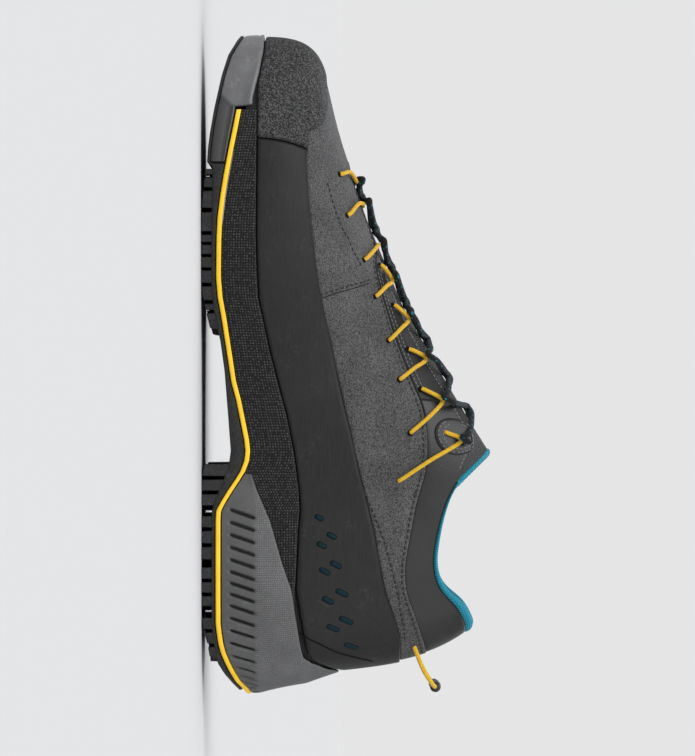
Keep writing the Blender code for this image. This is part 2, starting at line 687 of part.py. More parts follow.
def make_tongue():
    across = spread(-1, -TONGUE_EDGE, 2)[:-1] + spread(-TONGUE_EDGE, TONGUE_EDGE, 6)
    across += spread(TONGUE_EDGE, 1, 2)[1:]
    outer = -WALL - 2 * GAP
    rings = []
    rows = [1.25] + columns(1.25, COLLAR_ROW - 0.15)
    for index, row in enumerate(rows):
        ring = [cover(row, a, outer) for a in across]
        ring += [cover(row, a, outer - TONGUE) for a in reversed(across)]
        if index == 0:
            ring = [point - Vector((TONGUE_NOSE, 0, TONGUE_DIP)) for point in ring]
        rings.append(ring)
    return finish("tongue", sweep(rings, False, True), (0.03, 0.03, 0.032), 0.95)


def make_insole():
    """Footbed that lies inside the upper, clear of its wall."""
    stations = stations_between(0.012, 0.992, FOOTBED)
    rings = plate_rings(stations, lambda s: sole_height(FOOTBED, s) + GAP,
                        lambda s: sole_height(FOOTBED, s) + GAP + INSOLE,
                        lambda s: band_width(s) + WALL + 6 * GAP
                        + HEEL_ROOM * blend(0.85, 1.0, s), (0, 1))
    return finish("insole", sweep(rings, False), (0.02, 0.02, 0.02), 0.9)


# Lace loops, the same on both sides: rows of LAST and places across the throat for the lower
# hole, the turn round the lace and the upper hole; a loop with no upper hole ends at the lace
LOOPS = [
    ("1", (3.9, 1.22), (2.40, 0.70), None),
    ("2", (5.1, 1.20), (3.70, 0.74), None),
    ("3", (6.2, 1.10), (5.30, 0.73), None),
    ("4", (7.15, 1.08), (6.45, 0.74), (6.10, 0.84)),
    ("5", (8.25, 1.10), (7.55, 0.75), (7.25, 0.86)),
    ("6", (9.25, 1.16), (8.60, 0.80), (8.40, 0.92)),
    ("7", (10.8, 1.24), (9.75, 0.88), (9.45, 1.00)),
    ("8", (12.3, 1.28), (11.0, 0.85), (10.75, 0.96)),
]
# Rows where the lace turns at the sides, and how far across it goes there
LACE_ROWS = [(2.35, 0.69), (3.65, 0.73), (5.25, 0.72), (6.40, 0.73), (7.50, 0.74), (8.55, 0.79),
             (9.70, 0.87), (10.95, 0.84)]
# Shape of a turn in rows and in places across the throat, and where the lace leaves the sides
LACE_BEND = 0.15
LACE_FRONT = 0.25
LACE_NEAR = 0.07
LACE_LEAVE = 0.69


def loop_route(side, foot, turn, hole):
    """Route of a loop's cord; where it goes back to an upper hole, it turns in a small bight."""
    lift = SUEDE_STEP + LOOP_RADIUS + GAP
    root, tip = [cover(row, side * across, lift) for row, across in (foot, turn)]
    middle = cover((foot[0] + turn[0]) / 2, side * (foot[1] + turn[1]) / 2, lift + LOOP_ARCH)
    if not hole:
        return [root, middle, tip]
    back = cover(hole[0], side * hole[1], lift)
    apart = ((middle - tip).normalized() - (back - tip).normalized()).normalized() * BIGHT
    return [root, middle, tip + apart, tip - apart, back]


def make_loops():
    for side, word in ((-1, "medial"), (1, "lateral")):
        for name, foot, turn, hole in LOOPS:
            bm = tube(loop_route(side, foot, turn, hole), LOOP_RADIUS, 5)
            finish(f"loop_{word}_{name}", bm, (0.85, 0.5, 0.03), 0.6)


def lace_point(row, across):
    """Centre of the lace: on top of the loops at the sides, lower over the tongue."""
    lift = SUEDE_STEP + 2 * LOOP_RADIUS + LACE_RADIUS
    return cover(row, across, lift + 2 * GAP - LACE_SINK * max(0.0, 1 - (across / LACE_LEAVE) ** 2))


def make_laces():
    """Two strands that zigzag over the tongue, joined where they cross."""
    strands = []
    for side in (-1, 1):
        stops = []
        for index, (row, turn) in enumerate(LACE_ROWS):
            here = side if index % 2 == 0 else -side
            stops.append(lace_point(row - LACE_BEND, here * (turn - LACE_NEAR)))
            stops.append(lace_point(row, here * turn))
            stops.append(lace_point(row + LACE_BEND, here * (turn - LACE_NEAR)))
            if index < len(LACE_ROWS) - 1:
                following = LACE_ROWS[index + 1][0]
                for share in (0.36, 0.64):
                    stops.append(lace_point(row + (following - row) * share, here * (1 - 2 * share)))
        if side < 0:
            front = [lace_point(LACE_ROWS[0][0] - LACE_FRONT, a) for a in (0.62, 0.3, 0.0, -0.3)]
            stops = front + stops
        strands.append(tube(stops, LACE_RADIUS, 5))
    first = finish("laces", strands[0], (0.02, 0.03, 0.035), 0.85)
    second = finish("lace_cutter", strands[1], (0.02, 0.03, 0.035), 0.85)
    second.hide_render = True
    second.display_type = "WIRE"
    join = first.modifiers.new("join", "BOOLEAN")
    join.operation = "UNION"
    join.object = second
    return first


# Pull loop at the heel: where each leg leaves the skin, and the middle of its route as station,
# width (share of HALF) and height (share of UPPER_HEIGHT above SOLE_HEIGHT)
PULL_TURN = 18.3
PULL_RISE = 0.72
PULL_SUNK = 0.4
PULL_ROUTE = [(0.9593, 0.357, 0.789), (0.9807, 0.346, 0.827), (0.9888, 0.283, 0.850),
              (0.9912, 0.149, 0.860), (0.9912, -0.056, 0.860), (0.9898, -0.208, 0.854),
              (0.9831, -0.316, 0.838), (0.9610, -0.3535, 0.795)]
# Points of the smoothed route where the sleeve starts and ends
SLEEVE_FROM = 6
SLEEVE_TO = 12


def make_pull_loop():
    """Two cord legs rooted at the back of the heel, and the thick sleeve that joins them."""
    proud = SUEDE_STEP + GAP + (1 - PULL_SUNK) * PULL_RADIUS
    points = [Vector(((station - 0.5) * LENGTH, width * HALF, SOLE_HEIGHT + UPPER_HEIGHT * height))
              for station, width, height in PULL_ROUTE]
    points = [on_skin(2 * LAST_ROW - PULL_TURN, PULL_RISE, proud)] + points
    points.append(on_skin(PULL_TURN, PULL_RISE, proud))
    route = smooth_route(points, 2)
    step = 1.5 * GAP
    into = (route[SLEEVE_FROM] - route[SLEEVE_FROM - 1]).normalized() * step
    away = (route[SLEEVE_TO + 1] - route[SLEEVE_TO]).normalized() * step
    lateral = route[:SLEEVE_FROM] + [route[SLEEVE_FROM] - into]
    medial = [route[SLEEVE_TO] + away] + route[SLEEVE_TO + 1:]
    finish("pull_cord_lateral", tube(lateral, PULL_RADIUS, 6), (0.85, 0.5, 0.03), 0.6)
    finish("pull_sleeve", tube(route[SLEEVE_FROM:SLEEVE_TO + 1], SLEEVE_RADIUS, 6), (0.02, 0.02, 0.02), 0.6)
    finish("pull_cord_medial", tube(medial, PULL_RADIUS, 6), (0.85, 0.5, 0.03), 0.6)


for leftover in list(bpy.data.objects):
    bpy.data.objects.remove(leftover)
make_outsole()
make_stripe()
make_midsole()
make_bumper()
make_stabilizer()
make_upper()
make_cap()
make_rand()
make_lining()
make_tongue()
make_insole()
make_loops()
make_laces()
make_pull_loop()
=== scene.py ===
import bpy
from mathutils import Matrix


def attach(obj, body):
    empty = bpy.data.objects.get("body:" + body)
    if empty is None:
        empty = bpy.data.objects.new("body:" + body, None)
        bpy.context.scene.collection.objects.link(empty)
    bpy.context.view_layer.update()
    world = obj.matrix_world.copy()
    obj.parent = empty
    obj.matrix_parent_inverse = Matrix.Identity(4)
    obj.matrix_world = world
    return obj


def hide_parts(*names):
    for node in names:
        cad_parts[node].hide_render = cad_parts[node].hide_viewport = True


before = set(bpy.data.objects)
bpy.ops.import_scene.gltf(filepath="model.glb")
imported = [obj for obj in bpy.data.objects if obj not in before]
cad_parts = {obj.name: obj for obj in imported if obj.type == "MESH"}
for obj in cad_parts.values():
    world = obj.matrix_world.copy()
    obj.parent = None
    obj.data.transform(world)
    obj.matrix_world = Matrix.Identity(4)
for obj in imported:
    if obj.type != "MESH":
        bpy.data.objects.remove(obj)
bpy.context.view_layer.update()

import math
from collections import namedtuple
from functools import lru_cache

import bmesh
import bpy
from mathutils import Matrix, Vector

# Camera, floor and light
# The picture looks squarely at the inner side of the shoe, with the toe at the top, so the camera
# lies on its side, level with the middle of the shoe. Floor and air share one pale grey.
METRES_PER_PIXEL = 0.000447
PICTURE_HEIGHT = 756
CAMERA_DISTANCE = 2.6
PICTURE_MIDDLE = (0.006, 0.0648)
NEAR_SIDE = -0.02
FLOOR_GREY = 0.535
AIR_GREY = 0.785
SUNS = [("key", (-0.55, -0.80, 0.80), 2.3, 50), ("fill", (0.70, -0.75, 0.35), 1.0, 70),
        ("rim", (0.10, 0.85, 1.00), 1.1, 50)]

camera_data = bpy.data.cameras.new("camera")
camera_data.sensor_width = 36
camera_data.lens = 36 * CAMERA_DISTANCE / (PICTURE_HEIGHT * METRES_PER_PIXEL)
camera_data.clip_end = 100
camera = bpy.data.objects.new("camera", camera_data)
camera.matrix_world = Matrix(((0, -1, 0, PICTURE_MIDDLE[0]),
                              (0, 0, -1, NEAR_SIDE - CAMERA_DISTANCE),
                              (1, 0, 0, PICTURE_MIDDLE[1]),
                              (0, 0, 0, 1)))
bpy.context.scene.collection.objects.link(camera)
bpy.context.scene.camera = camera
bpy.context.scene.view_settings.view_transform = "Standard"

for name, place, strength, spread_degrees in SUNS:
    sun = bpy.data.lights.new(name, "SUN")
    sun.energy = strength
    sun.angle = math.radians(spread_degrees)
    lamp = bpy.data.objects.new(name, sun)
    lamp.rotation_mode = "QUATERNION"
    lamp.rotation_quaternion = Vector(place).to_track_quat("Z", "Y")
    bpy.context.scene.collection.objects.link(lamp)

world = bpy.data.worlds.new("air")
world.use_nodes = True
bpy.context.scene.world = world
background = world.node_tree.nodes["Background"]
background.inputs["Color"].default_value = (0.62, 0.63, 0.64, 1)
seen = world.node_tree.nodes.new("ShaderNodeBackground")
seen.inputs["Color"].default_value = (AIR_GREY, AIR_GREY, AIR_GREY * 1.01, 1)
choose = world.node_tree.nodes.new("ShaderNodeMixShader")
rays = world.node_tree.nodes.new("ShaderNodeLightPath")
world.node_tree.links.new(rays.outputs["Is Camera Ray"], choose.inputs[0])
world.node_tree.links.new(background.outputs[0], choose.inputs[1])
world.node_tree.links.new(seen.outputs[0], choose.inputs[2])
world.node_tree.links.new(choose.outputs[0], world.node_tree.nodes["World Output"].inputs[0])

floor_mesh = bpy.data.meshes.new("floor")
floor_mesh.from_pydata([(-60, -60, 0), (60, -60, 0), (60, 60, 0), (-60, 60, 0)], [], [(0, 1, 2, 3)])
floor = bpy.data.objects.new("floor", floor_mesh)
bpy.context.scene.collection.objects.link(floor)
floor_paint = bpy.data.materials.new("floor_paint")
floor_paint.use_nodes = True
floor_paint.node_tree.nodes["Principled BSDF"].inputs["Base Color"].default_value = (
    FLOOR_GREY, FLOOR_GREY, FLOOR_GREY * 1.01, 1)
floor_paint.node_tree.nodes["Principled BSDF"].inputs["Roughness"].default_value = 0.9
floor_paint.node_tree.nodes["Principled BSDF"].inputs["Specular IOR Level"].default_value = 0.0
floor_mesh.materials.append(floor_paint)

# Outsole
# One moulding of hard black rubber under the foot, with a smooth climbing edge round the toe, an
# arch at the waist and two fields of lugs, glued to the midsole.
LENGTH = 0.295
BALL_WIDTH = 0.1075
SOLE_HEIGHT = 0.025
GAP = 0.0003
RIM = 0.0023
HALF = BALL_WIDTH / 2
LAST_ROW = 20

# The last is the form that the shoe is made on: sections across the foot, joined by a smooth
# curve. Columns run from the footbed up to the opening, round the whole shoe.
# One row for each section of the last, from toe tip to heel. Stations are shares of LENGTH,
# widths, reaches and bellies are shares of HALF, tops are shares of UPPER_HEIGHT above SOLE_HEIGHT,
# low and drop are shares of the column's own height, and suede is where the suede ends on it.
Row = namedtuple("Row", "base base_in base_out top top_in top_out height low drop"
                        " reach_in reach_out belly_in belly_out suede")
LAST = [Row(*values) for values in (
    (0.000, -0.242, -0.242, 0.197, -0.037, -0.037, 0.430, 0.91, 0.36, 0.82, 0.82, 0.04, 0.04, 0.95),
    (0.0085, -0.465, 0.047, 0.202, -0.149, 0.093, 0.435, 0.90, 0.36, 0.80, 0.80, 0.04, 0.04, 0.94),
    (0.041, -0.703, 0.363, 0.217, -0.242, 0.186, 0.446, 0.85, 0.34, 0.66, 0.66, 0.05, 0.04, 0.92),
    (0.095, -0.865, 0.633, 0.241, -0.288, 0.235, 0.469, 0.75, 0.30, 0.58, 0.50, 0.06, 0.03, 0.90),
    (0.159, -0.960, 0.826, 0.271, -0.295, 0.265, 0.504, 0.60, 0.26, 0.54, 0.44, 0.08, 0.02, 0.89),
    (0.231, -0.990, 0.943, 0.308, -0.275, 0.295, 0.547, 0.48, 0.22, 0.56, 0.38, 0.09, 0.01, 0.88),
    (0.298, -0.993, 0.993, 0.353, -0.262, 0.344, 0.601, 0.40, 0.19, 0.52, 0.34, 0.09, 0.01, 0.88),
    (0.366, -0.951, 0.997, 0.403, -0.280, 0.400, 0.665, 0.36, 0.20, 0.46, 0.28, 0.08, 0.01, 0.86),
    (0.434, -0.871, 0.943, 0.461, -0.295, 0.420, 0.755, 0.33, 0.24, 0.42, 0.26, 0.06, 0.01, 0.84),
    (0.498, -0.819, 0.889, 0.519, -0.335, 0.432, 0.865, 0.31, 0.27, 0.34, 0.22, 0.05, 0.01, 0.82),
    (0.559, -0.800, 0.839, 0.573, -0.405, 0.465, 0.975, 0.30, 0.28, 0.26, 0.18, 0.04, 0.01, 0.80),
    (0.610, -0.783, 0.811, 0.617, -0.474, 0.512, 1.030, 0.30, 0.29, 0.20, 0.14, 0.03, 0.01, 0.78),
    (0.661, -0.767, 0.791, 0.661, -0.530, 0.558, 0.985, 0.30, 0.28, 0.14, 0.10, 0.03, 0.02, 0.80),
    (0.712, -0.778, 0.776, 0.705, -0.555, 0.578, 0.911, 0.31, 0.28, 0.11, 0.08, 0.02, 0.02, 0.82),
    (0.763, -0.807, 0.757, 0.753, -0.556, 0.575, 0.865, 0.32, 0.28, 0.10, 0.08, 0.02, 0.02, 0.83),
    (0.814, -0.820, 0.729, 0.800, -0.534, 0.540, 0.846, 0.32, 0.28, 0.10, 0.08, 0.01, 0.01, 0.82),
    (0.861, -0.804, 0.685, 0.837, -0.484, 0.474, 0.874, 0.32, 0.28, 0.12, 0.10, -0.01, -0.01, 0.80),
    (0.912, -0.740, 0.601, 0.868, -0.391, 0.353, 0.957, 0.33, 0.28, 0.18, 0.16, -0.05, -0.05, 0.77),
    (0.963, -0.571, 0.428, 0.892, -0.251, 0.186, 0.997, 0.34, 0.28, 0.25, 0.24, -0.11, -0.11, 0.77),
    (0.990, -0.344, 0.177, 0.904, -0.149, 0.065, 0.999, 0.35, 0.27, 0.32, 0.32, -0.15, -0.15, 0.78),
    (1.000, -0.110, -0.110, 0.907, -0.043, -0.043, 0.992, 0.36, 0.27, 0.34, 0.34, -0.165, -0.165, 0.79),
)]
CLIMBING_EDGE = 0.0012
STRIPE = 0.0022
STRIPE_START = 0.117
BUMPER_END = 0.20
# Heights along the shoe: station and height, as a share of SOLE_HEIGHT
STRIPE_LINE = [(0.117, 0.672), (0.146, 0.608), (0.176, 0.536), (0.22, 0.44), (0.25, 0.384),
               (0.28, 0.34), (0.31, 0.322), (0.37, 0.312), (0.40, 0.34), (0.434, 0.412),
               (0.464, 0.464), (0.495, 0.52), (0.525, 0.572), (0.553, 0.66), (0.583, 0.732),
               (0.614, 0.804), (0.63, 0.824), (0.645, 0.804), (0.661, 0.732), (0.675, 0.628),
               (0.69, 0.508), (0.707, 0.384), (0.72, 0.304), (0.735, 0.296), (0.89, 0.296),
               (0.905, 0.316), (0.92, 0.34), (0.935, 0.384), (0.95, 0.456), (0.963, 0.528),
               (0.98, 0.64), (0.993, 0.776), (1, 0.824)]
TOE_LINE = [(0, 0.80), (0.01, 0.752), (0.02, 0.70), (0.034, 0.62), (0.06, 0.58), (0.09, 0.58),
            (0.117, 0.616)]
UNDERSIDE = [(0, 0.704), (0.01, 0.624), (0.034, 0.472), (0.066, 0.36), (0.117, 0.232),
             (0.153, 0.16), (0.175, 0.128), (0.197, 0.112), (0.205, 0.208), (0.25, 0.20),
             (0.31, 0.184), (0.385, 0.184), (0.415, 0.216), (0.447, 0.288), (0.463, 0.336),
             (0.51, 0.412), (0.583, 0.48), (0.63, 0.52), (0.655, 0.48), (0.675, 0.38),
             (0.70, 0.26), (0.72, 0.184), (0.89, 0.18), (0.92, 0.216), (0.95, 0.28),
             (0.967, 0.40), (0.98, 0.52), (1, 0.72)]
TREAD = [(0.20, 0.092), (0.25, 0.032), (0.285, 0), (0.385, 0), (0.415, 0.072), (0.447, 0.16),
         (0.463, 0.22), (0.64, 0.10), (0.655, 0.03), (0.67, 0), (0.89, 0), (0.905, 0.06),
         (0.935, 0.14)]
# Lug rows, as stations where each starts and ends
LUG_ROWS = [(0.207, 0.216), (0.220, 0.235), (0.240, 0.266), (0.272, 0.301), (0.306, 0.317),
            (0.321, 0.335), (0.339, 0.355), (0.359, 0.378), (0.383, 0.404), (0.409, 0.418),
            (0.423, 0.446), (0.650, 0.668), (0.673, 0.690), (0.695, 0.712), (0.728, 0.745),
            (0.750, 0.769), (0.774, 0.793), (0.805, 0.822), (0.827, 0.843), (0.848, 0.863),
            (0.881, 0.898), (0.903, 0.920), (0.925, 0.941)]
# Lug columns across the sole: where each starts and ends, and how far it is shifted along
LUG_COLUMNS = [(0.0, 0.20, 0.0), (0.225, 0.485, 0.009), (0.515, 0.775, 0.009), (0.80, 1.0, 0.0)]
Spot = namedtuple("Spot", "point normal station")


def along(table, place):
    """Value at a place, on straight runs between the rows of a table."""
    if place <= table[0][0]:
        return table[0][1]
    for (x0, y0), (x1, y1) in zip(table, table[1:]):
        if place <= x1:
            return y0 + (y1 - y0) * (place - x0) / (x1 - x0)
    return table[-1][1]


def station_of(point):
    return point.x / LENGTH + 0.5


def sole_height(table, station):
    return SOLE_HEIGHT * along(table, station)


def knot(index):
    """Section values of one column of the last, counted round from the toe by the inner side."""
    index %= 2 * LAST_ROW
    inner = index <= LAST_ROW
    row = LAST[index if inner else 2 * LAST_ROW - index]
    if inner:
        side = (row.base_in, row.top_in, row.reach_in, row.belly_in)
    else:
        side = (row.base_out, row.top_out, row.reach_out, row.belly_out)
    return (row.base, row.top, row.height, row.low, row.drop, row.suede) + side


@lru_cache(maxsize=None)
def section(turn):
    """Values and their slopes at any place round the last, on a smooth curve through the rows."""
    index = math.floor(turn)
    u = turn - index
    a, b, c, d = (knot(index + k) for k in (-1, 0, 1, 2))
    values = []
    slopes = []
    for p, q, r, s in zip(a, b, c, d):
        c1 = (r - p) / 2
        c2 = p - 2.5 * q + 2 * r - s / 2
        c3 = (s - p) / 2 + 1.5 * (q - r)
        values.append(q + u * (c1 + u * (c2 + u * c3)))
        slopes.append(c1 + u * (2 * c2 + u * 3 * c3))
    return values, slopes


@lru_cache(maxsize=None)
def outline(turn):
    """Outer edge of the sole in plan, with its outward direction."""
    values, slopes = section(turn)
    tangent = Vector((slopes[0] * LENGTH, slopes[6] * HALF, 0)).normalized()
    point = Vector(((values[0] - 0.5) * LENGTH, values[6] * HALF, 0))
    return Spot(point, Vector((tangent.y, -tangent.x, 0)), values[0])


def turn_at(station, side):
    """Place round the last whose foot is at a station, on the inner (-1) or outer (1) side."""
    low, high = 0.0, float(LAST_ROW)
    for _ in range(30):
        middle = (low + high) / 2
        if outline(middle if side < 0 else -middle).station < station:
            low = middle
        else:
            high = middle
    return low if side < 0 else 2 * LAST_ROW - low


def spread(start, end, count):
    return [start + (end - start) * i / count for i in range(count + 1)]


def circle(sides):
    """Angles of the corners of a round section."""
    return spread(0, math.tau, sides)[:-1]


def lay_out(name, rings, whole_round=False, tube=False):
    """Mesh through rings of points, with a UV map in metres: from ring to ring, and along a ring."""
    count = len(rings[0])
    rows = len(rings)
    faces = []
    coords = []
    away = [0.0]
    for i in range(rows):
        step = rings[(i + 1) % rows][count // 2] - rings[i][count // 2]
        away.append(away[-1] + step.length)
    runs = []
    for ring in rings:
        run = [0.0]
        for j in range(count):
            run.append(run[-1] + (ring[(j + 1) % count] - ring[j]).length)
        runs.append(run)
    for i in range(rows if whole_round else rows - 1):
        k = (i + 1) % rows
        for j in range(count if tube else count - 1):
            m = (j + 1) % count
            faces.append((i * count + j, i * count + m, k * count + m, k * count + j))
            coords += [away[i], runs[i][j], away[i], runs[i][j + 1],
                       away[i + 1], runs[k][j + 1], away[i + 1], runs[k][j]]
    mesh = bpy.data.meshes.new(name)
    mesh.from_pydata([tuple(point) for ring in rings for point in ring], [], faces)
    mesh.uv_layers.new(name="metres").data.foreach_set("uv", coords)
    return mesh


def fit(name, mesh, material, slot, *nodes, sharp=None):
    """Puts a finished piece on the shoe, in the place of the plain nodes that it stands for."""
    bm = bmesh.new()
    bm.from_mesh(mesh)
    bmesh.ops.recalc_face_normals(bm, faces=bm.faces)
    bm.to_mesh(mesh)
    bm.free()
    mesh.shade_smooth()
    if sharp:
        mesh.set_sharp_from_angle(angle=math.radians(sharp))
    mesh.materials.append(material)
    piece = bpy.data.objects.new(name, mesh)
    bpy.context.scene.collection.objects.link(piece)
    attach(piece, "root")
    if nodes:
        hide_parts(*nodes)
    return piece


def laid(name, rings, material, slot, *nodes, whole_round=False, tube=False, sharp=None):
    """Puts a piece on the shoe whose surface runs through rings of points."""
    return fit(name, lay_out(name, rings, whole_round, tube), material, slot, *nodes, sharp=sharp)


# Finishes: each starts from a shader with its own colour and gloss. Effects that several share,
# such as grain and scuffs, are node groups.
def linked(tree, socket, value):
    if isinstance(value, bpy.types.NodeSocket):
        tree.links.new(value, socket)
    else:
        socket.default_value = value


def add(tree, kind, settings=None, **inputs):
    """Adds a node with settings and inputs; spaces in an input's name are written as underscores."""
    made = tree.nodes.new(kind)
    for key, value in (settings or {}).items():
        setattr(made, key, value)
    for key, value in inputs.items():
        linked(tree, made.inputs[key.replace("_", " ")], value)
    return made


def maths(tree, operation, *values):
    made = tree.nodes.new("ShaderNodeMath")
    made.operation = operation
    for socket, value in zip(made.inputs, values):
        linked(tree, socket, value)
    return made.outputs[0]


def ramp(tree, value, low, high, start=0.0, end=1.0):
    """Maps a range of a value to another, clamped at both ends."""
    return add(tree, "ShaderNodeMapRange", {"interpolation_type": "SMOOTHSTEP"}, Value=value,
               From_Min=low, From_Max=high, To_Min=start, To_Max=end).outputs[0]


def tint(tree, factor, first, second):
    """Mixes two colours, given as colours or sockets."""
    made = tree.nodes.new("ShaderNodeMix")
    made.data_type = "RGBA"
    linked(tree, made.inputs["Factor"], factor)
    for socket, value in ((made.inputs[6], first), (made.inputs[7], second)):
        linked(tree, socket, value if isinstance(value, bpy.types.NodeSocket) else (*value, 1))
    return made.outputs[2]


def effect(name, inputs, outputs):
    """Empty node group with named inputs and outputs."""
    group = bpy.data.node_groups.new(name, "ShaderNodeTree")
    for label, value in inputs.items():
        group.interface.new_socket(label, in_out="INPUT", socket_type="NodeSocketFloat").default_value = value
    for label in outputs:
        group.interface.new_socket(label, in_out="OUTPUT", socket_type="NodeSocketFloat")
    return group, group.nodes.new("NodeGroupInput"), group.nodes.new("NodeGroupOutput")


grain, grain_in, grain_out = effect("grain", {"Size": 0.0005}, ["Height", "Specks", "Patches"])
place = add(grain, "ShaderNodeTexCoord").outputs["Object"]
finer = maths(grain, "DIVIDE", 1.0, grain_in.outputs["Size"])
fine = add(grain, "ShaderNodeTexNoise", Vector=place, Scale=finer, Detail=4.0, Roughness=0.6)
specks = add(grain, "ShaderNodeTexNoise", Vector=place, Scale=maths(grain, "MULTIPLY", finer, 0.8),
             Detail=1.0)
patches = add(grain, "ShaderNodeTexNoise", Vector=place, Scale=maths(grain, "MULTIPLY", finer, 0.035),
              Detail=5.0, Roughness=0.55)
linked(grain, grain_out.inputs["Height"], fine.outputs["Fac"])
linked(grain, grain_out.inputs["Specks"], ramp(grain, specks.outputs["Fac"], 0.56, 0.72))
linked(grain, grain_out.inputs["Patches"], ramp(grain, patches.outputs["Fac"], 0.3, 0.7))

scuff, scuff_in, scuff_out = effect("scuff", {"Amount": 0.4}, ["Marks"])
place = add(scuff, "ShaderNodeTexCoord").outputs["Object"]
cloudy = add(scuff, "ShaderNodeTexNoise", Vector=place, Scale=90.0, Detail=8.0, Roughness=0.7)
spots = add(scuff, "ShaderNodeTexNoise", Vector=place, Scale=700.0, Detail=2.0)
both = maths(scuff, "MULTIPLY", ramp(scuff, cloudy.outputs["Fac"], 0.5, 0.75),
             ramp(scuff, spots.outputs["Fac"], 0.4, 0.7))
linked(scuff, scuff_out.inputs["Marks"], maths(scuff, "MULTIPLY", both, scuff_in.outputs["Amount"]))


def finish_of(name, roughness, **sockets):
    """New material: its tree, its shader, and the material itself."""
    material = bpy.data.materials.new(name)
    material.use_nodes = True
    tree = material.node_tree
    shader = tree.nodes["Principled BSDF"]
    shader.inputs["Roughness"].default_value = roughness
    for key, value in sockets.items():
        shader.inputs[key.replace("_", " ")].default_value = value
    return tree, shader, material


def use(tree, group, **inputs):
    made = tree.nodes.new("ShaderNodeGroup")
    made.node_tree = group
    for key, value in inputs.items():
        linked(tree, made.inputs[key], value)
    return made.outputs


def dye(tree, shader, colour):
    tree.links.new(colour, shader.inputs["Base Color"])


def emboss(tree, shader, height, depth):
    """Bump of a depth in metres on a shader."""
    bump = add(tree, "ShaderNodeBump", Height=height, Distance=depth, Strength=1.0)
    tree.links.new(bump.outputs[0], shader.inputs["Normal"])


def vary_gloss(tree, shader, patches, roughness, change):
    """Lets the roughness rise and fall slowly over a surface."""
    linked(tree, shader.inputs["Roughness"],
           ramp(tree, patches, 0, 1, roughness - change, roughness + change))


def rubber(name, colour, light, roughness, size, depth, marks=0.35, coat=0.0):
    """Moulded rubber: fine grain, lighter specks and a few pale scuffs."""
    tree, shader, material = finish_of(name, roughness, Coat_Weight=coat, Coat_Roughness=0.35,
                                       Specular_IOR_Level=0.25)
    grains = use(tree, grain, Size=size)
    scuffs = use(tree, scuff, Amount=marks)
    base = tint(tree, ramp(tree, grains["Height"], 0.42, 0.66), [value * 0.6 for value in colour], light)
    worn = tint(tree, scuffs["Marks"], base, [min(1, 2.4 * value + 0.03) for value in colour])
    dye(tree, shader, worn)
    vary_gloss(tree, shader, grains["Patches"], roughness, 0.06)
    emboss(tree, shader, grains["Height"], depth)
    return material


def stripe_bottom(station):
    return sole_height(STRIPE_LINE, station) - STRIPE / 2


def outsole_top(station):
    if station < STRIPE_START:
        return sole_height(TOE_LINE, station)
    return stripe_bottom(station) - 1.5 * GAP


def edges_at(station):
    return outline(turn_at(station, -1)), outline(turn_at(station, 1))


rings = []
for station in spread(0.002, 0.1149, 34) + spread(0.1151, 0.1999, 26) + spread(0.2001, 0.9935, 190):
    inner, outer = edges_at(station)
    bottom = sole_height(UNDERSIDE, station)
    front = station < BUMPER_END
    ledge = bottom + CLIMBING_EDGE if front else outsole_top(station) - 2 * GAP
    inset = RIM + GAP if front else GAP
    lower = [(0.0, 0.0007), (0.003, 0.0002), (0.010, 0.0)] + [(s, 0.0) for s in spread(0.04, 0.96, 16)]
    lower += [(0.990, 0.0), (0.997, 0.0002), (1.0, 0.0007)]
    ring = [inner.point.lerp(outer.point, share) + Vector((0, 0, bottom + lift)) for share, lift in lower]
    for spot in (outer, inner):
        back = spot.point - spot.normal * inset
        top = max(outsole_top(station_of(back)), ledge + GAP)
        shelf = [spot.point + Vector((0, 0, ledge)), back + Vector((0, 0, ledge + GAP / 3)),
                 back + Vector((0, 0, top))]
        ring += shelf if spot is outer else list(reversed(shelf))
    rings.append(ring)
sole_rubber = rubber("sole_rubber", (0.020, 0.020, 0.021), (0.032, 0.032, 0.033), 0.55, 0.0006, 0.00016,
                     marks=0.6)
laid("outsole_plate", rings, sole_rubber, "outsole", "outsole", sharp=35, tube=True)

DRAFT = 0.0004
lug_mesh = bmesh.new()
for start, end in LUG_ROWS:
    for low_share, high_share, shift in LUG_COLUMNS:
        base = []
        tip = []
        for station, share in ((start, low_share), (start, high_share), (end, high_share), (end, low_share)):
            place = station + shift
            inner, outer = edges_at(place)
            point = inner.point.lerp(outer.point, min(0.995, max(0.005, share)))
            base.append(point + Vector((0, 0, sole_height(UNDERSIDE, place) + 0.0006)))
            tip.append(point + Vector((0, 0, min(sole_height(TREAD, place), sole_height(UNDERSIDE, place)))))
        middle = sum(tip, Vector()) / 4
        tip = [point + (middle - point).normalized() * DRAFT for point in tip]
        for point in tip:
            point.z = sole_height(TREAD, station_of(point))
        base = [lug_mesh.verts.new(point) for point in base]
        tip = [lug_mesh.verts.new(point) for point in tip]
        lug_mesh.faces.new(tip)
        for i in range(4):
            lug_mesh.faces.new((base[i], base[(i + 1) % 4], tip[(i + 1) % 4], tip[i]))
lugs = bpy.data.meshes.new("outsole_lugs")
lug_mesh.to_mesh(lugs)
lug_mesh.free()
lug_piece = fit("outsole_lugs", lugs, sole_rubber, "outsole", "outsole", sharp=30)
rounding = lug_piece.modifiers.new("rounding", "BEVEL")
rounding.width = 0.0004
rounding.segments = 2

# Sole stripe
# A thin yellow layer of foam between outsole and midsole, whose edge shows as a line from the toe
# bumper along the arch and round the heel.
EDGE_ROUND = 0.0005


def edge_band(turns, profile):
    """Rings of a band that follows the sole's edge; the profile gives (inset, height) pairs."""
    rings = []
    for turn in turns:
        spot = outline(turn)
        rings.append([spot.point - spot.normal * inset + Vector((0, 0, height))
                      for inset, height in profile(spot.station)])
    return rings


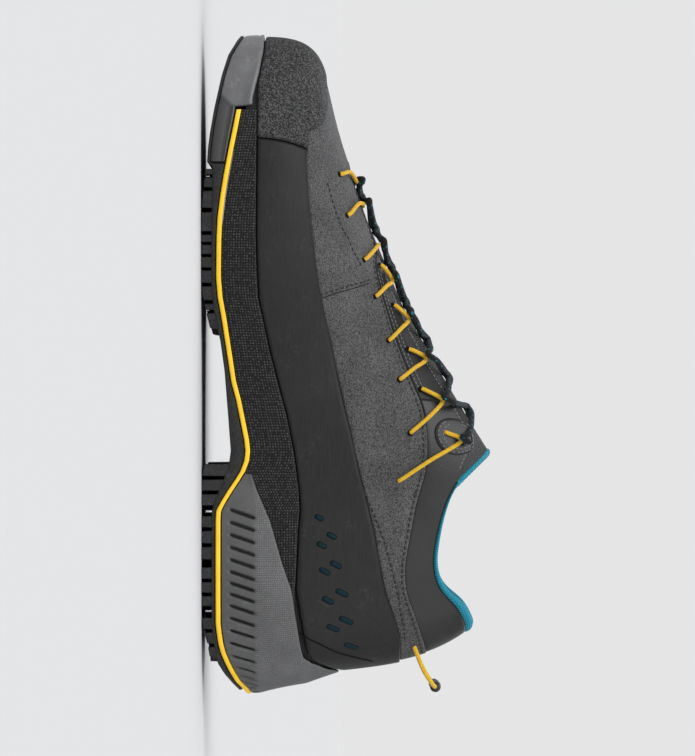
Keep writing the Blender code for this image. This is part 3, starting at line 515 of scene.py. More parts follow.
def stripe_profile(station):
    low = stripe_bottom(station)
    high = low + STRIPE
    proud = -0.0002
    return [(0.006, low), (EDGE_ROUND, low), (proud + EDGE_ROUND * 0.3, low + EDGE_ROUND * 0.3),
            (proud, low + EDGE_ROUND), (proud, high - EDGE_ROUND),
            (proud + EDGE_ROUND * 0.3, high - EDGE_ROUND * 0.3), (EDGE_ROUND, high), (0.006, high)]


def foam(name, colour, roughness):
    tree, shader, material = finish_of(name, roughness)
    grains = use(tree, grain, Size=0.0004)
    scuffs = use(tree, scuff, Amount=0.25)
    base = tint(tree, grains["Patches"], colour, [value * 0.9 for value in colour])
    dye(tree, shader, tint(tree, scuffs["Marks"], base, [value * 0.55 for value in colour]))
    emboss(tree, shader, grains["Height"], 0.00008)
    return material


stripe_foam = foam("stripe_foam", (0.86, 0.53, 0.012), 0.55)
turns = spread(turn_at(STRIPE_START + 0.001, -1), turn_at(STRIPE_START + 0.001, 1), 420)
fit("stripe", lay_out("stripe", edge_band(turns, stripe_profile)), stripe_foam, "stripe", "sole_stripe")

# Midsole
# A foam cup covered with black open knit: its rim rises beside the foot, low at the toe and high
# beside the heel, and light yarns show between the loops.
UPPER_HEIGHT = 0.0925
STABILIZER = 0.0030
STABILIZER_START = 0.661
HEEL_FLARE_FULL = 0.72
# Heights along the shoe: station and height, as a share of SOLE_HEIGHT
FOOTBED = [(0, 0.84), (0.03, 0.824), (0.10, 0.80), (0.15, 0.745), (0.20, 0.66), (0.27, 0.60),
           (0.32, 0.58), (0.37, 0.592), (0.44, 0.68), (0.51, 0.80), (0.58, 0.90), (0.65, 0.98),
           (0.70, 0.98), (0.85, 0.98), (1, 1.0)]
# Heights along the shoe, as a share of UPPER_HEIGHT above SOLE_HEIGHT
RIM_TOP = [(0, -0.004), (0.10, -0.004), (0.31, -0.009), (0.37, -0.003), (0.40, 0.002),
           (0.44, 0.029), (0.48, 0.056), (0.53, 0.097), (0.575, 0.135), (0.635, 0.173),
           (0.69, 0.195), (0.72, 0.199), (0.75, 0.190), (0.80, 0.184), (0.85, 0.175),
           (0.90, 0.173), (1, 0.184)]


def upper_height(table, station):
    return SOLE_HEIGHT + UPPER_HEIGHT * along(table, station)


def blend(low, high, value):
    share = min(1.0, max(0.0, (value - low) / (high - low)))
    return share * share * (3 - 2 * share)


def heel_inset(station):
    return (STABILIZER + GAP) * blend(STABILIZER_START, HEEL_FLARE_FULL, station)


def band_width(station):
    """Width of the rim, bumper and stabilizer outside the skin."""
    return RIM + GAP + heel_inset(station)


@lru_cache(maxsize=None)
def column(turn):
    """The four points that shape one column of the last, from the footbed to the opening."""
    spot = outline(turn)
    values, slopes = section(turn)
    base, top, height, low, drop, suede, base_y, top_y, reach, belly = values
    foot = spot.point - spot.normal * band_width(spot.station)
    foot.z = sole_height(FOOTBED, spot.station) + GAP
    end = Vector(((top - 0.5) * LENGTH, top_y * HALF, SOLE_HEIGHT + UPPER_HEIGHT * height))
    tall = end.z - foot.z
    inward = Vector((foot.x - end.x, foot.y - end.y, 0)).normalized()
    side = foot + spot.normal * belly * HALF + Vector((0, 0, low * tall))
    shoulder = end + inward * reach * HALF - Vector((0, 0, drop * tall))
    return foot, side, shoulder, end


def skin(turn, rise):
    """Point of the last's surface: rise runs from 0 at the footbed to 1 at the opening."""
    foot, side, shoulder, end = column(turn)
    fall = 1 - rise
    return (foot * fall ** 3 + side * 3 * rise * fall ** 2
            + shoulder * 3 * rise ** 2 * fall + end * rise ** 3)


def rise_where(test):
    """Place on a column where a test turns from true to false."""
    low, high = 0.0, 1.0
    for _ in range(26):
        middle = (low + high) / 2
        if test(middle):
            low = middle
        else:
            high = middle
    return low


def rise_at(turn, height):
    return rise_where(lambda rise: skin(turn, rise).z < height)


def flank(turn, height, out):
    """Point beside the skin at a height, moved outward in plan."""
    point = skin(turn, rise_at(turn, height))
    point += outline(turn).normal * out
    point.z = height
    return point


def smooth_route(points, steps):
    """Points on a smooth curve through a few chosen ones."""
    route = []
    for i in range(len(points) - 1):
        p = points[max(i - 1, 0)]
        q = points[i]
        r = points[i + 1]
        s = points[min(i + 2, len(points) - 1)]
        for k in range(steps):
            u = k / steps
            route.append(q + ((r - p) * u + (p * 2 - q * 5 + r * 4 - s) * u * u
                              + (s - p + (q - r) * 3) * u ** 3) / 2)
    return route + [points[-1]]


def midsole_bottom(station):
    if station < STRIPE_START:
        return outsole_top(station) + GAP
    return stripe_bottom(station) + STRIPE + GAP


rings = []
seam = STRIPE_START + 0.001
for turn in spread(turn_at(seam, -1), turn_at(seam, 1), 420):
    spot = outline(turn)
    bed = sole_height(FOOTBED, spot.station)
    crest = upper_height(RIM_TOP, spot.station)
    waist = (crest + bed) / 2
    low = spot.point - spot.normal * heel_inset(spot.station)
    bottom = midsole_bottom(max(station_of(low), STRIPE_START))
    wall = smooth_route([low + Vector((0, 0, bottom)), flank(turn, waist, RIM + GAP),
                         flank(turn, crest - 0.0008, RIM + GAP)], 6)
    over = [flank(turn, crest - drop, out) for drop, out in (
        (0.0003, RIM), (0.0, RIM * 0.7), (0.0001, GAP), (0.0015, -GAP))]
    under = [low - spot.normal * inward + Vector((0, 0, bottom)) for inward in (RIM * 2, GAP)]
    rings.append(under + wall + over)


def map_of(tree, name):
    """Places on a piece's own map, along it and across it."""
    return add(tree, "ShaderNodeSeparateXYZ",
               Vector=add(tree, "ShaderNodeUVMap", {"uv_map": name}).outputs[0]).outputs


def wave(tree, value, turn=math.tau):
    return maths(tree, "SINE", maths(tree, "MULTIPLY", value, turn))


knit, knit_in, knit_out = effect("knit", {"Pitch": 0.0012}, ["Height", "Openings", "Yarn"])
where = map_of(knit, "metres")
wale = maths(knit, "DIVIDE", where["X"], knit_in.outputs["Pitch"])
course = maths(knit, "DIVIDE", where["Y"], knit_in.outputs["Pitch"])
rib = maths(knit, "ABSOLUTE", wave(knit, wale, math.pi))
lean = maths(knit, "ADD", course, maths(knit, "MULTIPLY", rib, 0.45))
bead = maths(knit, "ABSOLUTE", wave(knit, lean, math.pi))
loops = maths(knit, "MULTIPLY", rib, bead)
linked(knit, knit_out.inputs["Height"], maths(knit, "POWER", loops, 0.6))
linked(knit, knit_out.inputs["Openings"], ramp(knit, loops, 0.02, 0.22, 1.0, 0.0))
yarn = add(knit, "ShaderNodeTexNoise", Vector=add(knit, "ShaderNodeTexCoord").outputs["Object"],
           Scale=1400.0, Detail=2.0)
beads = maths(knit, "MULTIPLY", ramp(knit, loops, 0.45, 0.9), ramp(knit, yarn.outputs["Fac"], 0.38, 0.62))
linked(knit, knit_out.inputs["Yarn"], beads)


def open_knit(name, colour, light, pitch, depth, amount, roughness=0.95):
    """Knit whose loops stand up, with darker openings and lighter yarns."""
    tree, shader, material = finish_of(name, roughness, Sheen_Weight=0.08, Specular_IOR_Level=0.2)
    loops = use(tree, knit, Pitch=pitch)
    base = tint(tree, maths(tree, "MULTIPLY", loops["Yarn"], amount), colour, light)
    dye(tree, shader, tint(tree, loops["Openings"], base, [value * 0.35 for value in colour]))
    emboss(tree, shader, loops["Height"], depth)
    return material


carrier_knit = open_knit("carrier_knit", (0.007, 0.007, 0.0075), (0.105, 0.105, 0.108), 0.0012, 0.0007, 0.9)
laid("midsole_rim", rings, carrier_knit, "midsole", "midsole")

# Toe bumper
# Grey rubber that wraps the front of the sole, with a raised bead along its top edge. It is
# glued to the sole, and its rear ends, under the stripe, are black.
BUMPER_TOP = [(0, 1.108), (0.025, 1.092), (0.042, 1.056), (0.06, 1.02), (0.08, 0.964),
              (0.096, 0.92), (0.113, 0.904)]
cut_in = turn_at(STRIPE_START - 0.008, -1)
cut_out = turn_at(STRIPE_START - 0.008, 1)
end_in = turn_at(BUMPER_END - 0.004, -1)
end_out = turn_at(BUMPER_END - 0.004, 1)
turns = spread(end_out, cut_out, 30) + spread(cut_out + 0.02, cut_in + 39.98, 160) + [
    turn + 40 for turn in spread(cut_in, end_in, 30)]
rings = []
for turn in turns:
    turn %= 2 * LAST_ROW
    spot = outline(turn)
    low = sole_height(UNDERSIDE, spot.station) + CLIMBING_EDGE + GAP
    if spot.station < STRIPE_START - 0.0075:
        high = sole_height(BUMPER_TOP, spot.station)
    else:
        high = stripe_bottom(spot.station) - 2 * GAP
    tall = high - low
    shape = [(0.0, 0.2), (0.0, 0.92), (0.04, 1.0), (0.3, 1.10), (0.6, 1.10), (0.80, 1.0), (0.84, 1.12),
             (0.90, 1.18), (0.96, 1.12), (1.0, 0.90), (1.0, 0.2)]
    rings.append([flank(turn, low + tall * share, RIM * out) for share, out in shape])


def place_of(tree):
    """Place on the shoe, in metres."""
    place = add(tree, "ShaderNodeTexCoord").outputs["Object"]
    return add(tree, "ShaderNodeSeparateXYZ", Vector=place).outputs


tree, shader, bumper_rubber = finish_of("bumper_rubber", 0.42, Coat_Weight=0.2, Coat_Roughness=0.3)
grains = use(tree, grain, Size=0.0007)
scuffs = use(tree, scuff, Amount=0.7)
where = place_of(tree)
behind = ramp(tree, maths(tree, "ADD", where["X"], maths(tree, "MULTIPLY", where["Z"], -0.9)),
              -0.1290, -0.1262)
grey = tint(tree, grains["Patches"], (0.078, 0.078, 0.080), (0.118, 0.118, 0.121))
grey = tint(tree, scuffs["Marks"], grey, (0.22, 0.22, 0.225))
black = tint(tree, grains["Patches"], (0.022, 0.022, 0.023), (0.040, 0.040, 0.041))
dye(tree, shader, tint(tree, behind, grey, black))
emboss(tree, shader, grains["Height"], 0.00012)
laid("bumper", rings, bumper_rubber, "bumper", "toe_bumper")

# Heel stabilizer
# One grey rubber moulding that wraps the heel above the sole: slanted slits below, a fine
# texture above them, and a thin edge that climbs the back of the heel.
RAND = 0.0015
RIB_DEPTH = 0.0010
RIB_START = 0.715
STABILIZER_TOP = [(0.661, 0.87), (0.69, 0.984), (0.735, 1.216), (0.80, 1.432), (0.84, 1.592),
                  (0.89, 1.68), (0.925, 1.736), (0.955, 1.80), (0.975, 1.96), (0.99, 2.20),
                  (1, 2.44)]
SLITS = 19
SLIT_HALF = 0.0007
SLIT_LEAN = 0.0042
SLIT_BOTTOM = 0.0120
SLIT_TOP = 0.0242
SLIT_CLEAR = 0.0016


def bare_mesh(name, points, faces):
    mesh = bpy.data.meshes.new(name)
    mesh.from_pydata([tuple(point) for point in points], [], faces)
    return mesh


def pace_at(turn):
    """Metres along the sole's edge for one row of the last."""
    slope = section(turn)[1]
    return math.hypot(slope[0] * LENGTH, slope[6] * HALF)


def slit_bottom(turn):
    """Height where the slits begin at a turn, clear of the stripe below them."""
    return max(SLIT_BOTTOM, sole_height(STRIPE_LINE, outline(turn).station) + STRIPE / 2 + SLIT_CLEAR)


def slit_depth(turn, height, centres):
    """How deep the slits cut at a place on the band."""
    bottom = slit_bottom(turn)
    if not bottom < height < SLIT_TOP:
        return 0.0
    share = (height - bottom) / (SLIT_TOP - bottom)
    pace = pace_at(turn)
    lean = SLIT_LEAN * (share - 0.5) / pace * (1 if turn < LAST_ROW else -1)
    apart = min(abs(turn - centre - lean) for centre in centres) * pace
    if apart >= 2 * SLIT_HALF:
        return 0.0
    fade = min(1.0, 8 * share, 8 * (1 - share))
    return 1.6 * RIB_DEPTH * fade * blend(1.6 * SLIT_HALF, 0.6 * SLIT_HALF, apart)


first = turn_at(STABILIZER_START + 0.004, -1)
last = turn_at(STABILIZER_START + 0.004, 1)
from_turn = turn_at(RIB_START, -1)
centres = [from_turn + (LAST_ROW - from_turn) * (k + 0.5) / SLITS for k in range(SLITS)]
centres += [2 * LAST_ROW - turn for turn in centres]
rings = []
for turn in spread(first, last, 560):
    station = outline(turn).station
    low = sole_height(STRIPE_LINE, station) + STRIPE / 2 + 1.5 * GAP
    high = sole_height(STABILIZER_TOP, station)
    inner = RIM + 2.5 * GAP
    thick = band_width(station) - inner
    rear = blend(0.93, 0.985, station)
    tip_out = inner + (0.5 * thick + GAP) * (1 - rear) + (RAND - RIM) * rear
    edge = min(0.0012, (high - low) * 0.3)
    ring = [flank(turn, low, inner), flank(turn, low, inner + thick - 0.0005)]
    for height in [low + 0.0002] + spread(low + 0.0006, high - edge, 26) + [high - 0.4 * edge]:
        share = (height - low) / (high - low)
        if share < 0.62:
            out = inner + thick * (1 - 0.1 * share / 0.62)
        else:
            out = inner + thick * 0.9 + (tip_out - inner - thick * 0.9) * (share - 0.62) / 0.38
        ring.append(flank(turn, height, out - slit_depth(turn, height, centres)))
    ring += [flank(turn, high, tip_out - 0.0004), flank(turn, high - 0.0006, tip_out - 0.0010)]
    rings.append(ring)
tree, shader, stabilizer_rubber = finish_of("stabilizer_rubber", 0.55, Specular_IOR_Level=0.3)
grains = use(tree, grain, Size=0.0006)
scuffs = use(tree, scuff, Amount=0.35)
upper_part = ramp(tree, place_of(tree)["Z"], 0.0225, 0.0250)
body = tint(tree, upper_part, (0.074, 0.074, 0.075), (0.096, 0.096, 0.098))
weave = use(tree, knit, Pitch=0.0010)
rear_part = maths(tree, "MULTIPLY", upper_part, 0.8)
body = tint(tree, maths(tree, "MULTIPLY", weave["Yarn"], rear_part), body, (0.20, 0.20, 0.205))
body = tint(tree, maths(tree, "MULTIPLY", weave["Openings"], rear_part), body, (0.035, 0.035, 0.036))
body = tint(tree, maths(tree, "MULTIPLY", grains["Patches"], 0.5), body, (0.048, 0.048, 0.049))
dye(tree, shader, tint(tree, scuffs["Marks"], body, (0.16, 0.16, 0.165)))
emboss(tree, shader, grains["Height"], 0.00018)
# The slits are grooves cut in the grey moulding; the near-black strips laid in their floors are painted
# shade.
slit_painted_shade = rubber("slit_painted_shade", (0.006, 0.006, 0.006), (0.012, 0.012, 0.012), 0.8, 0.0004, 0.00005, marks=0.0)
points = []
faces = []
for centre in centres:
    pace = pace_at(centre)
    base = len(points)
    bottom = slit_bottom(centre)
    for share in spread(0.04, 0.96, 8):
        height = bottom + (SLIT_TOP - bottom) * share
        lean = SLIT_LEAN * (share - 0.5) * (1 if centre < LAST_ROW else -1)
        for edge in (-0.55, 0.55):
            turn = centre + (lean + edge * SLIT_HALF) / pace
            points.append(flank(turn, height, band_width(outline(turn).station) - 0.9 * RIB_DEPTH))
    for i in range(8):
        a = base + 2 * i
        faces.append((a, a + 1, a + 3, a + 2))
fit("stabilizer_slit_shade", bare_mesh("stabilizer_slit_shade", points, faces), slit_painted_shade, "stabilizer",
    "heel_stabilizer")
laid("stabilizer", rings, stabilizer_rubber, "stabilizer", "heel_stabilizer", sharp=50)

# Upper
# Split suede over a soft lining: a wall open at throat and collar, a suede panel glued and sewn
# over it, and smooth dark panels at the collar and beside the throat.
WALL = 0.0020
SUEDE_STEP = 0.0009
CAP_END_OUT = 4.5
# Top edge of the rand along the shoe, as a share of UPPER_HEIGHT above SOLE_HEIGHT
RAND_TOP = [(0, 0.237), (0.155, 0.237), (0.175, 0.232), (0.205, 0.237), (0.25, 0.246),
            (0.31, 0.266), (0.36, 0.285), (0.40, 0.308), (0.44, 0.334), (0.48, 0.363),
            (0.51, 0.382), (0.56, 0.417), (0.61, 0.456), (0.66, 0.489), (0.71, 0.530),
            (0.76, 0.565), (0.81, 0.589), (0.86, 0.616), (0.90, 0.653), (0.95, 0.686), (1, 0.686)]
# Rear edge of the toe cap in plan: width (share of HALF) and station
CAP_EDGE = [(-0.93, 0.158), (-0.856, 0.153), (-0.781, 0.1475), (-0.696, 0.138), (-0.614, 0.1275),
            (-0.545, 0.114), (-0.484, 0.10), (-0.378, 0.0756), (-0.26, 0.0603), (-0.15, 0.056),
            (-0.026, 0.0603), (0.06, 0.0664), (0.143, 0.0756), (0.227, 0.088), (0.394, 0.115),
            (0.478, 0.134), (0.562, 0.154), (0.646, 0.176), (0.713, 0.193)]
# Soft hollows and swells of the suede: turn, rise, half length in rows, half height and depth
HOLLOWS = [
    (4.7, 0.55, 0.9, 0.20, -0.0006), (6.2, 0.62, 0.5, 0.16, 0.0005), (7.4, 0.40, 0.8, 0.14, -0.0005),
    (9.6, 0.52, 0.7, 0.15, 0.0006), (11.3, 0.50, 0.5, 0.22, -0.0007), (12.6, 0.66, 0.7, 0.12, 0.0005),
    (14.6, 0.60, 0.9, 0.12, -0.0005), (17.0, 0.62, 0.8, 0.16, -0.0004), (35.3, 0.55, 0.9, 0.20, -0.0006),
    (32.4, 0.45, 0.8, 0.16, 0.0005), (29.0, 0.50, 0.6, 0.20, -0.0006), (25.6, 0.60, 0.9, 0.14, -0.0005)]


def on_skin(turn, rise, proud):
    """Point at a distance outside the skin, along its own normal."""
    step = 0.01
    round_way = skin(turn + step, rise) - skin(turn - step, rise)
    up_way = skin(turn, rise + step) - skin(turn, rise - step)
    return skin(turn, rise) + round_way.cross(up_way).normalized() * proud


def cap_rise(turn):
    """Place on a column where it crosses the rear edge of the toe cap."""
    def ahead(rise):
        point = skin(turn, rise)
        return station_of(point) < along(CAP_EDGE, point.y / HALF)
    return rise_where(ahead)


def suede_start(turn):
    """Lower edge of the suede: the top of the rand, and the rear edge of the toe cap."""
    row = min(turn, 2 * LAST_ROW - turn)
    rand = rise_at(turn, upper_height(RAND_TOP, outline(turn).station))
    return max(rand, cap_rise(turn)) if row < CAP_END_OUT + 0.5 else rand


def swell(turn, rise):
    """Hollows and swells of the leather at a place on the skin."""
    total = 0.0
    for where, up, wide, tall, depth in HOLLOWS:
        a = (turn - where) / wide
        b = (rise - up) / tall
        if a * a + b * b < 4:
            total += depth * math.exp(-2 * (a * a + b * b))
    return total


def panel(turns, low, high, proud, rows, under=0.0, ends=True, soft=1.0):
    """Rings of a layer laid on the skin between two rises, with its edges rolled down."""
    rings = []
    for turn in turns:
        start, end = low(turn), high(turn)
        reach = max((skin(turn, end) - skin(turn, start)).length, 0.0001)
        roll = min(0.4, 0.0007 / reach)
        shares = [0, 0.3 * roll, roll] + spread(roll, 1 - roll, rows)[1:-1] + [1 - roll, 1 - 0.3 * roll, 1]
        heights = [0.0, 0.7, 1.0] + [1.0] * (len(shares) - 6) + [1.0, 0.7, 0.0]
        ring = []
        for share, height in zip(shares, heights):
            rise = start + (end - start) * share
            lift = under + (proud - under) * height + soft * height * swell(turn, rise)
            ring.append(on_skin(turn, rise, lift))
        rings.append(ring)
    if ends:
        for place, turn in ((0, turns[0]), (len(rings), turns[-1])):
            start, end = low(turn), high(turn)
            count = len(rings[0])
            rings.insert(place, [on_skin(turn, start + (end - start) * k / (count - 1), under)
                                 for k in range(count)])
    return rings


def suede_end(turn):
    """Where the suede ends on a column: at the throat's edge in front, lower beside the stays."""
    front = blend(6.4, 5.2, min(turn, 2 * LAST_ROW - turn))
    share = section(turn)[0][5]
    return share + (0.985 - share) * front


def leather(name, colour, light, roughness, size, depth, **sockets):
    """Leather with a fine grain and a slow change of colour over the hide."""
    tree, shader, material = finish_of(name, roughness, **sockets)
    grains = use(tree, grain, Size=size)
    base = tint(tree, grains["Patches"], colour, light)
    scuffs = use(tree, scuff, Amount=0.25)
    dye(tree, shader, tint(tree, scuffs["Marks"], base, [min(1, value * 1.9) for value in light]))
    vary_gloss(tree, shader, grains["Patches"], roughness, 0.05)
    emboss(tree, shader, grains["Height"], depth)
    return material


whole = spread(0, 2 * LAST_ROW, 360)[:-1]
rings = []
for turn in whole:
    ring = [on_skin(turn, rise, 0) for rise in spread(0, 0.985, 20) + [0.995, 1.0]]
    ring += [on_skin(turn, rise, -WALL * depth) for rise, depth in ((1.004, 0.3), (1.004, 0.7), (1.0, 1.0))]
    rings.append(ring)
wall_cloth = open_knit("wall_cloth", (0.020, 0.020, 0.021), (0.06, 0.06, 0.06), 0.0010, 0.0002, 0.5)
laid("upper_wall", rings, wall_cloth, "upper", "upper", whole_round=True)
rings = [[on_skin(turn, rise, -WALL) for rise in spread(0, 1, 20)] for turn in whole]
for ring in rings:
    ring[0].z += GAP
laid("upper_inside", rings, wall_cloth, "upper", "upper", whole_round=True)

tree, shader, suede = finish_of("suede", 0.94, Sheen_Weight=0.12, Sheen_Roughness=0.5, Specular_IOR_Level=0.2)
shader.inputs["Sheen Tint"].default_value = (0.75, 0.76, 0.8, 1)
nap = use(tree, grain, Size=0.00062)
hairs = use(tree, grain, Size=0.0003)
scuffs = use(tree, scuff, Amount=0.25)
tips = tint(tree, nap["Patches"], (0.078, 0.077, 0.078), (0.112, 0.111, 0.112))
roots = tint(tree, nap["Patches"], (0.016, 0.016, 0.0165), (0.028, 0.028, 0.029))
hide = tint(tree, ramp(tree, nap["Height"], 0.36, 0.62), roots, tips)
hide = tint(tree, maths(tree, "MULTIPLY", hairs["Specks"], 0.6), hide, (0.16, 0.16, 0.165))
dye(tree, shader, tint(tree, scuffs["Marks"], hide, (0.20, 0.20, 0.205)))
rough_nap = maths(tree, "ADD", nap["Height"], maths(tree, "MULTIPLY", hairs["Height"], 0.6))
emboss(tree, shader, rough_nap, 0.00055)
rings = panel(whole, lambda turn: suede_start(turn) - 0.004, suede_end, SUEDE_STEP, 46, ends=False)
laid("suede_panel", rings, suede, "upper", "upper", whole_round=True)

collar_leather = leather("collar_leather", (0.008, 0.008, 0.0083), (0.014, 0.014, 0.0145), 0.38, 0.0009,
                         0.00006, Specular_IOR_Level=0.35)
PANEL_FROM = 9.7
rings = panel(spread(PANEL_FROM, 2 * LAST_ROW - PANEL_FROM, 260), lambda turn: suede_end(turn) - 0.004,
              lambda turn: 0.998, 0.0005, 16, soft=0.6)
laid("collar_panel", rings, collar_leather, "upper", "upper")

stay_leather = leather("stay_leather", (0.014, 0.014, 0.0145), (0.024, 0.024, 0.025), 0.48, 0.0006, 0.00006,
                       Specular_IOR_Level=0.2)
for word, start, end in (("medial", 5.3, PANEL_FROM + 0.2),
                         ("lateral", 2 * LAST_ROW - PANEL_FROM - 0.2, 34.7)):
    rings = panel(spread(start, end, 110), lambda turn: suede_end(turn) - 0.004, lambda turn: 0.999,
                  0.0004, 12, soft=0.0)
    laid(f"eyestay_{word}", rings, stay_leather, "upper", "upper")


def cord_mesh(name, routes, radius, sides=10):
    """Round cords along routes, with a UV map of metres along and turns round them."""
    points = []
    faces = []
    coords = []
    for route in routes:
        up = Vector((0, 0, 1))
        gone = 0.0
        lengths = []
        base = len(points)
        for i, point in enumerate(route):
            ahead = (route[min(i + 1, len(route) - 1)] - route[max(i - 1, 0)]).normalized()
            across = ahead.cross(up).normalized()
            up = across.cross(ahead).normalized()
            gone += (point - route[i - 1]).length if i else 0.0
            lengths.append(gone)
            wide = radius * (0.82 if i in (0, len(route) - 1) else 1.0)
            points += [tuple(point + (across * math.cos(a) + up * math.sin(a)) * wide)
                       for a in circle(sides)]
        for i in range(len(route) - 1):
            for k in range(sides):
                m = (k + 1) % sides
                a = base + i * sides
                faces.append((a + k, a + m, a + sides + m, a + sides + k))
                coords += [lengths[i], k / sides, lengths[i], (k + 1) / sides,
                           lengths[i + 1], (k + 1) / sides, lengths[i + 1], k / sides]
        for ring, gone in ((base, 0.0), (base + (len(route) - 1) * sides, gone)):
            faces.append(tuple(range(ring, ring + sides)))
            coords += [gone, 0.0] * sides
    mesh = bpy.data.meshes.new(name)
    mesh.from_pydata(points, [], faces)
    mesh.uv_layers.new(name="turns").data.foreach_set("uv", coords)
    return mesh


braid, braid_in, braid_out = effect("braid", {"Pitch": 0.003, "Strands": 5.0}, ["Height", "Fleck"])
where = map_of(braid, "turns")
along_cord = maths(braid, "DIVIDE", where["X"], braid_in.outputs["Pitch"])
around = maths(braid, "MULTIPLY", where["Y"], braid_in.outputs["Strands"])
over = wave(braid, maths(braid, "ADD", along_cord, around))
under = wave(braid, maths(braid, "SUBTRACT", along_cord, around))
linked(braid, braid_out.inputs["Height"],
       maths(braid, "ABSOLUTE", maths(braid, "MULTIPLY", over, under)))
marks = maths(braid, "ADD", maths(braid, "MULTIPLY", along_cord, 0.5), where["Y"])
threads = maths(braid, "SUBTRACT", along_cord, maths(braid, "MULTIPLY", where["Y"], 3))
flecks = ramp(braid, wave(braid, marks), 0.80, 0.90)
dashes = ramp(braid, wave(braid, threads), 0.0, 0.4)
linked(braid, braid_out.inputs["Fleck"], maths(braid, "MULTIPLY", flecks, dashes))


def braided(name, colour, fleck, roughness, pitch, depth, amount):
    tree, shader, material = finish_of(name, roughness, Sheen_Weight=0.05, Specular_IOR_Level=0.2)
    strands = use(tree, braid, Pitch=pitch)
    base = tint(tree, strands["Height"], [value * 0.45 for value in colour], colour)
    dye(tree, shader, tint(tree, maths(tree, "MULTIPLY", strands["Fleck"], amount), base, fleck))
    emboss(tree, shader, strands["Height"], depth)
    return material


# Piping: a thin black cord sewn along the throat edge of the suede
piping = braided("piping_cord", (0.014, 0.014, 0.015), (0.03, 0.03, 0.03), 0.6, 0.0012, 0.0001, 0.3)
route = [on_skin(turn % (2 * LAST_ROW), suede_end(turn % (2 * LAST_ROW)) + 0.004, SUEDE_STEP * 0.55)
         for turn in spread(-PANEL_FROM - 0.5, PANEL_FROM + 0.5, 150)]
fit("throat_piping", cord_mesh("throat_piping", [route], 0.0006, 6), piping, "upper", "upper")


# Stitching: short thread stitches, laid end to end along lines drawn on the upper
def spot_at(station, height):
    """Turn and rise of the place on the inner side at a station and a share of UPPER_HEIGHT."""
    level = SOLE_HEIGHT + UPPER_HEIGHT * height
    low, high = 0.5, 19.5
    for _ in range(24):
        middle = (low + high) / 2
        if station_of(skin(middle, rise_at(middle, level))) < station:
            low = middle
        else:
            high = middle
    return low, rise_at(low, level)


def seam_line(spots, proud, outer=False):
    """Points and outward directions along a line through spots on the skin, every 0.2 mm or so."""
    places = smooth_route([Vector((turn, rise, 0)) for turn, rise in spots], 24)
    line = []
    for place in places:
        turn = 2 * LAST_ROW - place.x if outer else place.x
        turn %= 2 * LAST_ROW
        lift = proud + swell(turn, place.y)
        point = on_skin(turn, place.y, lift)
        line.append((point, (on_skin(turn, place.y, lift + 0.001) - point).normalized()))
    return line


def stack(points, faces, rings):
    """Adds rings of points to a mesh's lists, joined one to the next, with a lid on the last."""
    base = len(points)
    count = len(rings[0])
    for ring in rings:
        points += ring
    for a in range(base, base + count * (len(rings) - 1), count):
        for k in range(count):
            m = (k + 1) % count
            faces.append((a + k, a + m, a + count + m, a + count + k))
    faces.append(tuple(range(len(points) - count, len(points))))
    return base


def stitches(name, lines, pitch, long, wide, material):
    """Stitches along lines, as one mesh of small rounded bars."""
    points = []
    faces = []
    for line in lines:
        ahead = 0.0
        for (here, out), (there, _) in zip(line, line[1:]):
            step = (there - here).length
            ahead -= step
            if ahead > 0 or step < 1e-7:
                continue
            ahead += pitch
            way = (there - here).normalized()
            side = way.cross(out).normalized()
            base = stack(points, faces, [
                [here + way * long * along_it + (side * a + out * b) * wide * 0.5 * size
                 for a, b in ((-1, -0.4), (-0.7, 0.7), (0.7, 0.7), (1, -0.4))]
                for along_it, size in ((-0.5, 0.35), (-0.32, 1.0), (0.32, 1.0), (0.5, 0.35))])
            faces.append(tuple(range(base, base + 4)))
    fit(name, bare_mesh(name, points, faces), material, "upper")


# Lines on the inner side: station, and height as a share of UPPER_HEIGHT
INNER_SEAM = [(0.395, 0.305), (0.389, 0.358), (0.383, 0.421), (0.378, 0.479), (0.373, 0.527)]
VAMP_ROW = [(0.230, 0.334), (0.240, 0.343), (0.258, 0.358), (0.278, 0.377), (0.296, 0.401),
            (0.311, 0.426), (0.330, 0.450), (0.345, 0.479), (0.357, 0.493)]
REAR_ROW = [(0.680, 0.492), (0.715, 0.543), (0.749, 0.585), (0.781, 0.620), (0.814, 0.647),
            (0.846, 0.671), (0.878, 0.689), (0.915, 0.706)]
threads = []
for name, colour in (("dark_thread", (0.008, 0.008, 0.0085, 1)), ("grey_thread", (0.16, 0.16, 0.165, 1))):
    tree, shader, thread = finish_of(name, 0.7, Base_Color=colour)
    emboss(tree, shader, use(tree, grain, Size=0.0003)["Height"], 0.00005)
    threads.append(thread)
dark_thread, grey_thread = threads
lines = []
for table, outer in ((INNER_SEAM, False), (VAMP_ROW, False), (VAMP_ROW, True), (REAR_ROW, False),
                     (REAR_ROW, True)):
    spots = [spot_at(*place) for place in table]
    lines.append(seam_line(spots, SUEDE_STEP + 0.0001, outer))
    if table is INNER_SEAM:
        seam_spots = spots
for outer in (False, True):
    edge = [(turn, suede_end(turn) - 0.020) for turn in spread(2.5, 19.4, 60)]
    lines.append(seam_line(edge, SUEDE_STEP + 0.0001, outer))
stitches("upper_stitches", lines, 0.0026, 0.0016, 0.0008, dark_thread)
lines = []
for outer in (False, True):
    for up in (0.020, 0.045):
        edge = [(turn, suede_end(turn) + up) for turn in spread(6.4, 9.4, 24)]
        lines.append(seam_line(edge, 0.0005, outer))
    lines.append(seam_line([(turn, 0.975) for turn in spread(5.8, 12.0, 30)], 0.0005, outer))
stitches("eyestay_stitches", lines, 0.0020, 0.0014, 0.0004, grey_thread)
seam_route = [point for point, _ in seam_line([(turn + 0.08, rise) for turn, rise in seam_spots], SUEDE_STEP)]
fit("inner_seam", cord_mesh("inner_seam", [seam_route], 0.00025, 6), piping, "upper")

